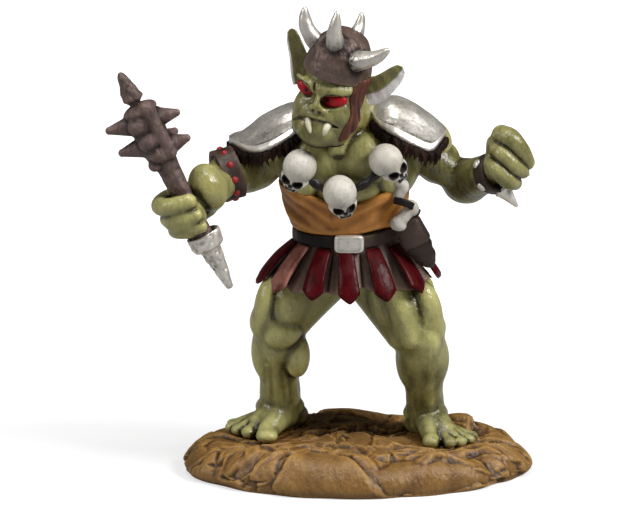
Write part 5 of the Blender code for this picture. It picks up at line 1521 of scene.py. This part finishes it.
def mace_turned_surface(profile, depth):
    """A turned length of the mace, beaten unevenly: the profile's radius is varied by noise."""
    rings = turned_rings(profile, sides=72, count=70)
    place = rings + 13.0
    beaten = 1 + depth * (lumps(place, 0.6) + 0.6 * lumps(place, 1.5))
    rings[..., :2] *= beaten[..., None]
    return closed_tube(MACE_SEAT.world(rings))


# Buckle

BUCKLE_PLACE, BUCKLE_HALF, BUCKLE_THICKNESS = (-1.4, -5.85, 48.4), (2.95, 1.75), 0.75


def buckle_surface():
    """The belt's buckle: a squarish oval lifted from its back to a rounded edge and a flat face, bent
    round the waist."""
    c, s = squared(turns(56), 0.35)
    share = np.array((0.6, 1.0, 1.0, 0.97, 0.9, 0.84, 0.78, 0.5, 0.25, 0.05))[:, None]
    lift = BUCKLE_THICKNESS * np.array((-1.0, -0.9, 0.6, 0.9, 1.0, 1.0, 0.95, 0.95, 0.95, 0.95))[:, None]
    wide, tall = BUCKLE_HALF
    rings = xyz(wide * share * c, 0.35 * (share * c) ** 2 - lift, tall * share * s)
    return closed_tube(np.add(BUCKLE_PLACE, rings))


# Properties

def paint_property(name, description, red, green, blue):
    return FloatVectorProperty(
        name=name, description=description, subtype="COLOR", size=3, min=0.0, max=1.0,
        default=colour(red, green, blue),
    )


def length_property(name, description, default, low, high):
    return FloatProperty(
        name=name, description=description, unit="LENGTH", subtype="DISTANCE", precision=6,
        default=default, min=low, max=high,
    )


def size_property(name, description, default, low, high):
    """A length given in millimetres."""
    return length_property(name, description, default * MM, low * MM, high * MM)


def power_property(name, description, default):
    return FloatProperty(
        name=name, description=description, unit="POWER", default=default, min=0.0, max=50.0,
    )


class FigurePaints(bpy.types.PropertyGroup):
    """The paints of the figure."""

    skin: paint_property("Skin", "Olive coat of the bare skin", 138, 135, 86)
    earth: paint_property("Earth", "Coat of the rocky base", 122, 89, 47)
    cloth: paint_property("Under-skirt", "Dun coat of the pleated under-skirt", 112, 90, 78)
    flap: paint_property("Kilt flaps", "Crimson coat of the kilt flaps", 70, 4, 8)
    dusty: paint_property("Dusty flap", "Worn coat of the second kilt flap", 138, 88, 78)
    sash: paint_property("Sash", "Ochre coat of the waist sash", 178, 118, 52)
    belt: paint_property("Belt", "Black coat of the belt and the hip strap", 24, 19, 17)
    pouch: paint_property("Pouch", "Brown coat of the pouch and the bracer", 42, 29, 22)
    lid: paint_property("Pouch lid", "Dusty coat of the pouch's lid and of the worn belt", 67, 53, 46)
    bracelet: paint_property("Bracelet", "Brown coat of the bracelet", 62, 45, 34)
    stud: paint_property("Bracelet studs", "Red coat of the bracelet's studs", 155, 31, 31)
    strap: paint_property("Chin strap", "Red-brown coat of the chin strap", 84, 43, 29)
    silver: paint_property("Silver", "Silver paint of plates, horns and fittings", 213, 208, 199)
    iron: paint_property("Iron", "Brown-grey paint of the mace", 93, 77, 72)
    helmet: paint_property("Helmet", "Dull metal paint of the helmet", 98, 82, 74)
    fur: paint_property("Fur", "Dark coat of the fur trims", 42, 27, 19)
    ivory: paint_property("Fangs", "Coat of the fangs", 206, 201, 177)
    bone: paint_property("Bone", "Coat of the skulls and bones", 197, 192, 180)
    cord: paint_property("Cord", "Black coat of the cord, the pupils and the bed of the fur", 26, 22, 20)
    eye: paint_property("Eyes", "Red coat of the eyes", 171, 9, 24)
    # The pale coat along the ears' lower edge is partly a pale paint and partly a painted highlight, where
    # that edge catches the light.
    pale: paint_property("Ear lining", "Pale coat along the ears' lower edge", 246, 243, 240)


class FigureSizes(bpy.types.PropertyGroup):
    """Sizes of the trim, and how finely the figure is sculpted."""

    body_step: size_property("Body step", "Net spacing over limbs and trunk", 0.34, 0.1, 2)
    detail_step: size_property("Detail step", "Net spacing over head, hands, bones and mace", 0.22, 0.08, 2)
    tufts: IntProperty(
        name="Fur tufts", description="Number of tufts under each shoulder plate",
        default=300, min=30, max=3000,
    )
    tuft_length: size_property("Tuft length", "Length of the shortest fur tufts", 1.7, 0.2, 5)
    belt_width: size_property("Belt width", "Width of the belt", 2.6, 1, 6)
    flap_thickness: size_property("Flap thickness", "Thickness of a kilt flap", 0.84, 0.3, 2)
    bracelet_width: size_property("Bracelet width", "Width of the bracelet", 4.2, 1, 8)
    bracer_width: size_property("Bracer width", "Width of the bracer", 3.6, 1, 8)


class FigureStage(bpy.types.PropertyGroup):
    """Camera and light."""

    elevation: FloatProperty(
        name="View height", description="Angle of the camera over the level", subtype="ANGLE",
        default=math.radians(15), min=0.0, max=math.radians(80),
    )
    distance: length_property("View distance", "From the camera to the middle of the figure", 2.0, 0.2, 5.0)
    width: length_property("View width", "Width of the picture at the figure", 0.128, 0.05, 1.0)
    key: power_property("Key light", "Power of the main light", 4.8)
    fill: power_property("Fill light", "Power of the weaker light", 1.9)
    sky: FloatProperty(
        name="Sky", description="Strength of the even light from all round", subtype="FACTOR",
        default=0.07, min=0.0, max=1.0,
    )


# Each coat: its wash tint, which also colours painted shade in the hollows, its light tint, which also
# colours painted highlights on the ridges, and its glaze tint; then the wash, light and glaze amounts, the
# patch scale, the patchiness and the speckle.
COATS = {
    "skin": (((0.13, 0.11, 0.05), (1.95, 1.9, 1.9), (0.86, 0.76, 0.5)), (1.05, 1.1, 0.7, 0.35, 0.5, 0.35)),
    "earth": (((0.14, 0.11, 0.08), (1.75, 1.85, 1.6), (0.8, 0.66, 0.5)), (0.85, 1.0, 0.7, 0.4, 0.5, 0.4)),
    "cloth": (((0.1, 0.08, 0.07), (1.7, 1.65, 1.6), (0.8, 0.75, 0.7)), (1.4, 0.9, 0.4, 0.5, 0.5, 0.4)),
    "flap": (((0.14, 0.2, 0.2), (2.6, 12.0, 8.0), (0.5, 0.5, 0.5)), (1.3, 0.15, 0.7, 0.5, 0.5, 0.3)),
    "dusty": (((0.25, 0.05, 0.05), (1.7, 1.9, 1.9), (0.45, 0.12, 0.12)), (1.2, 0.7, 1.0, 0.5, 1.2, 0.6)),
    "sash": (((0.3, 0.2, 0.14), (1.4, 1.5, 1.6), (0.62, 0.48, 0.36)), (1.2, 1.0, 0.6, 0.4, 0.5, 0.35)),
    "belt": (((0.4, 0.4, 0.4), (4.0, 4.0, 4.2), (0.8, 0.8, 0.8)), (0.8, 0.2, 0.3, 0.5, 0.4, 0.3)),
    "pouch": (((0.35, 0.35, 0.35), (2.2, 2.2, 2.2), (0.7, 0.7, 0.7)), (1.0, 0.5, 0.4, 0.5, 0.5, 0.4)),
    "lid": (((0.3, 0.28, 0.26), (1.8, 1.8, 1.8), (0.6, 0.55, 0.5)), (1.0, 0.6, 0.6, 0.5, 0.6, 0.4)),
    "bracelet": (((0.2, 0.18, 0.16), (2.6, 2.7, 2.9), (0.7, 0.6, 0.55)), (1.2, 0.7, 0.6, 0.5, 0.8, 0.6)),
    "stud": (((0.3, 0.3, 0.3), (1.5, 3.0, 3.0), (0.8, 0.8, 0.8)), (0.8, 0.4, 0.3, 0.5, 0.3, 0.2)),
    "strap": (((0.22, 0.2, 0.2), (1.9, 1.9, 1.9), (0.6, 0.6, 0.6)), (1.2, 0.6, 0.5, 0.5, 0.4, 0.3)),
    "silver": (((0.08, 0.07, 0.06), (1.4, 1.4, 1.4), (0.6, 0.57, 0.52)), (0.95, 0.8, 0.7, 0.9, 0.25, 0.6)),
    "iron": (((0.14, 0.12, 0.11), (1.9, 1.8, 1.8), (0.6, 0.52, 0.5)), (1.2, 0.7, 0.7, 0.5, 0.6, 0.4)),
    "helmet": (((0.2, 0.17, 0.16), (1.8, 1.65, 1.6), (0.75, 0.62, 0.56)), (1.1, 0.7, 0.7, 0.4, 0.6, 0.4)),
    "fur": (((0.2, 0.18, 0.16), (3.0, 2.6, 2.4), (0.6, 0.6, 0.6)), (0.9, 0.6, 0.4, 0.6, 0.6, 0.4)),
    "ivory": (((0.5, 0.42, 0.3), (1.15, 1.15, 1.15), (0.9, 0.85, 0.7)), (1.0, 0.5, 0.4, 0.5, 0.3, 0.2)),
    "bone": (((0.02, 0.015, 0.012), (1.3, 1.3, 1.35), (0.8, 0.74, 0.66)), (1.6, 0.6, 0.6, 0.8, 0.3, 0.6)),
    "cord": (((0.5, 0.5, 0.5), (3.0, 3.0, 3.0), (0.8, 0.8, 0.8)), (0.8, 0.4, 0.3, 0.5, 0.4, 0.3)),
    "eye": (((0.4, 0.3, 0.3), (1.3, 1.5, 1.5), (0.8, 0.8, 0.8)), (0.5, 0.2, 0.3, 0.5, 0.2, 0.2)),
    "pale": (((0.5, 0.47, 0.45), (1.2, 1.2, 1.2), (0.9, 0.88, 0.86)), (0.8, 0.3, 0.4, 0.4, 0.5, 0.3)),
}
PLAIN_SHEEN = (None, 0.45, 0.15, 0.0)
SHEENS = {
    "skin": (0.28, 0.45, 0.28, 0.0), "earth": (0.42, 0.4, 0.5, 0.0), "flap": (0.34, 0.1, 0.15, 0.0),
    "dusty": (0.6, 0.15, 0.2, 0.0), "eye": (0.45, 0.35, 0.05, 0.0), "silver": (0.36, 0.6, 0.09, 0.6),
    "helmet": (0.45, 0.4, 0.4, 0.3), "iron": (0.5, 0.4, 0.6, 0.15), "belt": (0.5, 0.2, 0.15, 0.0),
    "fur": (0.7, 0.15, 0.2, 0.0),
}


def coat(paints, name):
    """The material of one paint. COATS gives its wash, light and glaze as tints of it, then the six
    amounts, and SHEENS its roughness, the strength of its highlights, its bump and how metallic it is.
    The wash also colours painted shade, and the light painted highlights."""
    base = tuple(getattr(paints, name))
    return paint(name + "_coat", base, *COATS[name], *SHEENS.get(name, PLAIN_SHEEN))


def coat_over(name, first, second, attribute, low, high):
    """A material that goes from one coat's colour to another's where an attribute passes from low to
    high."""
    if name in bpy.data.materials:
        return bpy.data.materials[name]
    material = first.copy()
    material.name = name
    nodes = Nodes(material.node_tree)
    shader = material.node_tree.nodes["Principled BSDF"]
    over = nodes.add("ShaderNodeGroup", node_tree=brushed_paint())
    source = next(n for n in second.node_tree.nodes if n.type == "GROUP")
    for socket in source.inputs:
        over.inputs[socket.name].default_value = socket.default_value
    reach = {"Value": nodes.attribute(attribute), "From Min": low, "From Max": high}
    share = nodes.add("ShaderNodeMapRange", reach).outputs[0]
    under = shader.inputs["Base Color"].links[0].from_socket
    nodes.feed(shader.inputs["Base Color"], nodes.mix(share, under, over.outputs["Color"]))
    return material


# Operators

class FIGURE_OT_base(bpy.types.Operator):
    """Lay the rocky base"""

    bl_idname = "figure.base"
    bl_label = "Base"

    def execute(self, context):
        earth = coat(context.scene.figure_paints, "earth")
        add_piece("base_rock", *base_surface(), earth, "earth", "base")
        return {"FINISHED"}


# Painted shade on the bare skin: each flesh piece is darkened as a whole, by one share below the knee span
# and another above it. It is strongest on the left arm, the head under the helmet, the left fist and the left
# leg below the knee.
KNEE_SPAN = (19.0, 27.0)
FLESH_PAINTED_SHADES = {
    "right_leg": (0.1, 0.0), "left_leg": (0.5, 0.05), "torso": (0.18, 0.18), "right_arm": (0.2, 0.2),
    "left_arm": (0.68, 0.68), "left_hand": (0.5, 0.5), "right_hand": (0.12, 0.12),
}
HEAD_PAINTED_SHADE = 0.5


class FIGURE_OT_body(bpy.types.Operator):
    """Model the legs, the trunk, the arms and the hands"""

    bl_idname = "figure.body"
    bl_label = "Body"

    def execute(self, context):
        sizes = context.scene.figure_sizes
        olive = coat(context.scene.figure_paints, "skin")
        flesh = {
            "right_leg": (RIGHT_LEG, sizes.body_step), "left_leg": (LEFT_LEG, sizes.body_step),
            "torso": (TORSO, sizes.body_step), "right_arm": (RIGHT_ARM, sizes.body_step),
            "left_arm": (LEFT_ARM, sizes.body_step), "left_hand": (LEFT_HAND, sizes.detail_step),
            "right_hand": (right_hand_forms(), sizes.detail_step),
        }
        for node, (forms, step) in flesh.items():
            points, faces = skin(forms, step / MM)
            # Painted shade over the whole piece, which may change at the knees.
            shade = np.interp(points[:, 2], KNEE_SPAN, FLESH_PAINTED_SHADES[node])
            add_piece(node + "_flesh", points, faces, olive, "olive_skin", node, forms, shade)
        return {"FINISHED"}


class FIGURE_OT_head(bpy.types.Operator):
    """Model the head with its ears, eyes, fangs and chin strap"""

    bl_idname = "figure.head"
    bl_label = "Head"

    def execute(self, context):
        paints = context.scene.figure_paints
        step = context.scene.figure_sizes.detail_step / MM
        forms = head_forms()
        olive, black = coat(paints, "skin"), coat(paints, "cord")
        # The head is darkened as a whole by painted shade.
        add_piece("head_flesh", *skin(forms, step), olive, "olive_skin", "head", forms, HEAD_PAINTED_SHADE)
        # The ears pass to the pale coat towards their lower edge: partly a pale paint and partly a painted
        # highlight.
        pale_edged = coat_over("ear_coat", olive, coat(paints, "pale"), "lower", 0.08, 0.24)
        for node in EARS:
            points, faces, lower, shade = ear_surface(node)
            # The ear is darkened as a whole by painted shade.
            ear = add_piece(node + "_flesh", points, faces, pale_edged, "olive_skin", node, dark=shade, depth=0.2)
            mark(ear.data, "lower", lower)
        red = coat_over("eye_and_pupil_coat", coat(paints, "eye"), black, "pupil", 0.5, 0.6)
        for name in EYES:
            points, faces, pupil = eye_surface(name)
            eye = add_piece(name, points, faces, red, "crimson")
            mark(eye.data, "pupil", pupil)
        for node in FANGS:
            add_piece(node + "_tooth", *fang_surface(node), coat(paints, "ivory"), "ivory", node)
        leather = coat(paints, "strap")
        add_piece("chin_strap_sides", *strap_surfaces(forms), leather, "strap_brown", "chin_strap")
        add_piece("chin_strap_thong", *chin_line(forms), black, "strap_brown")
        return {"FINISHED"}


class FIGURE_OT_helmet(bpy.types.Operator):
    """Beat the helmet and set its horns"""

    bl_idname = "figure.helmet"
    bl_label = "Helmet"

    def execute(self, context):
        paints = context.scene.figure_paints
        points, faces, dark = helmet_surface()
        add_piece("helmet_shell", points, faces, coat(paints, "helmet"), "helmet_paint", "helmet", dark=dark)
        for node in HORNS:
            points, faces, root = horn_surface(node)
            add_piece(node + "_cone", points, faces, coat(paints, "silver"), "silver_paint", node, dark=root)
        return {"FINISHED"}


class FIGURE_OT_shoulders(bpy.types.Operator):
    """Beat the shoulder plates and hang the fur under them"""

    bl_idname = "figure.shoulders"
    bl_label = "Shoulder plates"

    def execute(self, context):
        paints, sizes = context.scene.figure_paints, context.scene.figure_sizes
        silver, black, fur = (coat(paints, name) for name in ("silver", "cord", "fur"))
        for side in PLATES:
            plate, trim = side + "_pauldron", side + "_fur_trim"
            points, faces, dark, light = pauldron_surface(side)
            add_piece(
                plate + "_plate", points, faces, silver, "silver_paint", plate,
                dark=dark, light=light, depth=0.6,
            )
            bed, (points, faces, tips) = fur_surfaces(side, sizes.tufts, sizes.tuft_length / MM)
            add_piece(trim + "_bed", *bed, black, "fur_brown", trim)
            # The tufts are darkened towards their roots as painted shade. Their tips are lighter, partly as
            # dry-brushed paint and partly as a painted highlight.
            add_piece(trim + "_tufts", points, faces, fur, "fur_brown", dark=1 - tips, light=tips)
        return {"FINISHED"}


class FIGURE_OT_necklace(bpy.types.Operator):
    """String the three skulls"""

    bl_idname = "figure.necklace"
    bl_label = "Necklace"

    def execute(self, context):
        paints = context.scene.figure_paints
        step = context.scene.figure_sizes.detail_step / MM
        add_piece("necklace_cord_twist", *cord_surface(), coat(paints, "cord"), "cord_black", "necklace_cord")
        for node, seat in SKULL_SEATS.items():
            forms = skull_forms(seat)
            add_piece(node + "_bone", *skin(forms, step), coat(paints, "bone"), "bone", node, forms)
        return {"FINISHED"}


class FIGURE_OT_waist(bpy.types.Operator):
    """Wind the sash, close the belt and hang the pouch and the bones"""

    bl_idname = "figure.waist"
    bl_label = "Waist"

    def execute(self, context):
        paints, sizes = context.scene.figure_paints, context.scene.figure_sizes
        add_piece("waist_sash_folds", *sash_surface(), coat(paints, "sash"), "ochre", "waist_sash")
        points, faces, worn = belt_surface(sizes.belt_width / MM)
        black, dusty = coat(paints, "belt"), coat(paints, "lid")
        rubbed = coat_over("belt_worn_coat", black, dusty, "worn", 0.3, 0.7)
        belt = add_piece("belt_strip", points, faces, rubbed, "black_leather", "belt")
        mark(belt.data, "worn", worn)
        silver = coat(paints, "silver")
        add_piece("belt_buckle_plate", *buckle_surface(), silver, "silver_paint", "belt_buckle")
        add_piece("pouch_bag", *pouch_surface(), coat(paints, "pouch"), "brown_leather", "pouch")
        add_piece("pouch_lid", *pouch_lid_surface(), dusty, "brown_leather")
        add_piece("hip_loop", *hip_loop_surface(), black, "black_leather")
        for node, forms in (("bone_upper", BONE_UPPER), ("bone_lower", BONE_LOWER)):
            knob = skin(forms, sizes.detail_step / MM)
            add_piece(node + "_knob", *knob, coat(paints, "bone"), "bone", node, forms)
        return {"FINISHED"}


class FIGURE_OT_kilt(bpy.types.Operator):
    """Pleat the under-skirt and lay the kilt flaps over it"""

    bl_idname = "figure.kilt"
    bl_label = "Kilt"

    def execute(self, context):
        paints = context.scene.figure_paints
        thickness = context.scene.figure_sizes.flap_thickness / MM
        add_piece("under_skirt_pleats", *skirt_surface(), coat(paints, "cloth"), "dun_cloth", "under_skirt")
        for number, flap in enumerate(FLAPS, 1):
            node = f"kilt_flap_{number:02d}"
            red = coat(paints, "dusty" if number == DUSTY_FLAP else "flap")
            add_piece(node + "_strip", *flap_surface(*flap, thickness), red, "crimson", node)
        return {"FINISHED"}


class FIGURE_OT_wrists(bpy.types.Operator):
    """Close the studded bracelet and the spiked bracer"""

    bl_idname = "figure.wrists"
    bl_label = "Wrists"

    def execute(self, context):
        paints, sizes = context.scene.figure_paints, context.scene.figure_sizes
        silver = coat(paints, "silver")
        cuff = cuff_surface(BRACELET_SEAT, BRACELET_RADIUS, sizes.bracelet_width / MM, thickness=0.55)
        add_piece("bracelet_cuff", *cuff, coat(paints, "bracelet"), "bracelet_brown", "bracelet")
        studs = many_tubes(stud_rings(BRACELET_SEAT, BRACELET_RADIUS, count=10, size=0.8, height=0.5))
        add_piece("bracelet_studs", *studs, coat(paints, "stud"), "crimson")
        cuff = cuff_surface(BRACER_SEAT, BRACER_RADIUS, sizes.bracer_width / MM, thickness=0.6)
        add_piece("bracer_cuff", *cuff, coat(paints, "pouch"), "brown_leather", "bracer")
        rim = Seat(BRACER_SEAT.world((0.0, 0.0, -0.9)), BRACER_SEAT.matrix)
        plates = many_tubes(stud_rings(rim, BRACER_RADIUS, count=5, size=1.1, height=0.4))
        add_piece("bracer_plates", *plates, silver, "silver_paint")
        for node, spike in BRACER_SPIKES.items():
            cone = cone_surface(*spike, BRACER_SPIKE_RADIUS)
            add_piece(node + "_cone", *cone, silver, "silver_paint", node)
        return {"FINISHED"}


class FIGURE_OT_mace(bpy.types.Operator):
    """Forge the mace"""

    bl_idname = "figure.mace"
    bl_label = "Mace"

    def execute(self, context):
        paints = context.scene.figure_paints
        forms = mace_head_forms()
        head = skin(forms, context.scene.figure_sizes.detail_step / MM)
        add_piece("mace_head_barrel", *head, coat(paints, "iron"), "iron_paint", "mace_head", forms)
        for node, (metal, depth, profile) in MACE_TURNED.items():
            length = mace_turned_surface(profile, depth)
            add_piece(node + "_turned", *length, coat(paints, metal), metal + "_paint", node)
        return {"FINISHED"}


AIM = Vector((-7.2 * MM, 0.0, 44.4 * MM))
FLOOR_REACH = 3.0


def face_aim(obj):
    """Puts a lamp or camera on the stage, turned to look at the middle of the figure."""
    obj.rotation_euler = (AIM - obj.location).to_track_quat("-Z", "Y").to_euler()
    bpy.context.scene.collection.objects.link(obj)


class FIGURE_OT_stage(bpy.types.Operator):
    """Set the floor, the lights and the camera"""

    bl_idname = "figure.stage"
    bl_label = "Stage"

    def execute(self, context):
        scene = context.scene
        stage = scene.figure_stage
        self.lay_floor(scene)
        lights = (
            ("key_light", stage.key, 0.2, (0.50, -0.22, 0.54)),
            ("side_light", stage.fill, 0.2, (-0.60, -0.20, 0.42)),
            ("top_light", 0.8 * stage.key, 0.35, (-0.02, -0.16, 0.85)),
        )
        for name, power, size, place in lights:
            data = bpy.data.lights.new(name, "AREA")
            data.energy = power
            data.size = size
            lamp = bpy.data.objects.new(name, data)
            lamp.location = place
            face_aim(lamp)
        self.light_sky(scene, stage.sky)
        data = bpy.data.cameras.new("camera")
        data.sensor_width = 36.0
        data.lens = data.sensor_width * stage.distance / stage.width
        data.clip_start = 0.01
        camera = bpy.data.objects.new("camera", data)
        towards = Vector((0, -math.cos(stage.elevation), math.sin(stage.elevation)))
        camera.location = AIM + stage.distance * towards
        face_aim(camera)
        scene.camera = camera
        scene.view_settings.view_transform = "Standard"
        return {"FINISHED"}

    def lay_floor(self, scene):
        mesh = bpy.data.meshes.new("floor")
        corners = [(FLOOR_REACH * x, FLOOR_REACH * y, 0) for x, y in ((-1, -1), (1, -1), (1, 1), (-1, 1))]
        mesh.from_pydata(corners, [], [(0, 1, 2, 3)])
        mesh.update()
        mesh.materials.append(self.floor_paint())
        floor = bpy.data.objects.new("floor", mesh)
        scene.collection.objects.link(floor)

    def floor_paint(self):
        """A pale floor that the camera sees as white away from the figure, and shaded near its feet."""
        material = bpy.data.materials.new("floor_paint")
        material.use_nodes = True
        shader = material.node_tree.nodes["Principled BSDF"]
        shader.inputs["Base Color"].default_value = (0.4, 0.4, 0.4, 1.0)
        shader.inputs["Roughness"].default_value = 0.9
        shader.inputs["Specular IOR Level"].default_value = 0.0
        shader.inputs["Emission Color"].default_value = (1.0, 1.0, 1.0, 1.0)
        nodes = Nodes(material.node_tree)
        seen = nodes.add("ShaderNodeLightPath").outputs["Is Camera Ray"]
        place = nodes.add("ShaderNodeTexCoord").outputs["Object"]
        away = nodes.add("ShaderNodeVectorMath", {0: place}, operation="LENGTH").outputs["Value"]
        reach = {"Value": away, "From Min": 0.05, "From Max": 0.25, "To Min": 0.62, "To Max": 1.0}
        glow = nodes.add("ShaderNodeMapRange", reach).outputs[0]
        nodes.feed(shader.inputs["Emission Strength"], nodes.math("MULTIPLY", seen, glow))
        return material

    def light_sky(self, scene, strength):
        """White behind the figure, as seen by the camera, and an even weaker light for everything else."""
        world = bpy.data.worlds.new("sky")
        scene.world = world
        world.use_nodes = True
        nodes = Nodes(world.node_tree)
        background = world.node_tree.nodes["Background"]
        background.inputs["Color"].default_value = (1.0, 1.0, 1.0, 1.0)
        seen = nodes.add("ShaderNodeLightPath").outputs["Is Camera Ray"]
        level = nodes.math("MULTIPLY_ADD", seen, 1.0 - strength, strength)
        nodes.feed(background.inputs["Strength"], level)


class FIGURE_PT_panel(bpy.types.Panel):
    """Lists the figure's pieces"""

    bl_idname = "FIGURE_PT_panel"
    bl_label = "Painted figure"
    bl_space_type = "VIEW_3D"
    bl_region_type = "UI"
    bl_category = "Figure"

    def draw(self, context):
        for operator in OPERATORS:
            self.layout.operator(operator.bl_idname)
        for name in GROUPS:
            box = self.layout.box()
            group = getattr(context.scene, name)
            for row in group.__annotations__:
                box.prop(group, row)


OPERATORS = (
    FIGURE_OT_base, FIGURE_OT_body, FIGURE_OT_head, FIGURE_OT_helmet, FIGURE_OT_shoulders, FIGURE_OT_necklace,
    FIGURE_OT_waist, FIGURE_OT_kilt, FIGURE_OT_wrists, FIGURE_OT_mace, FIGURE_OT_stage,
)
GROUPS = {"figure_paints": FigurePaints, "figure_sizes": FigureSizes, "figure_stage": FigureStage}
CLASSES = (*GROUPS.values(), *OPERATORS, FIGURE_PT_panel)


def register():
    for cls in CLASSES:
        bpy.utils.register_class(cls)
    for name, group in GROUPS.items():
        setattr(bpy.types.Scene, name, PointerProperty(type=group))


def unregister():
    for name in GROUPS:
        delattr(bpy.types.Scene, name)
    for cls in reversed(CLASSES):
        bpy.utils.unregister_class(cls)


def main():
    register()
    for operator in OPERATORS:
        group, name = operator.bl_idname.split(".")
        getattr(getattr(bpy.ops, group), name)()


if __name__ == "__main__":
    main()
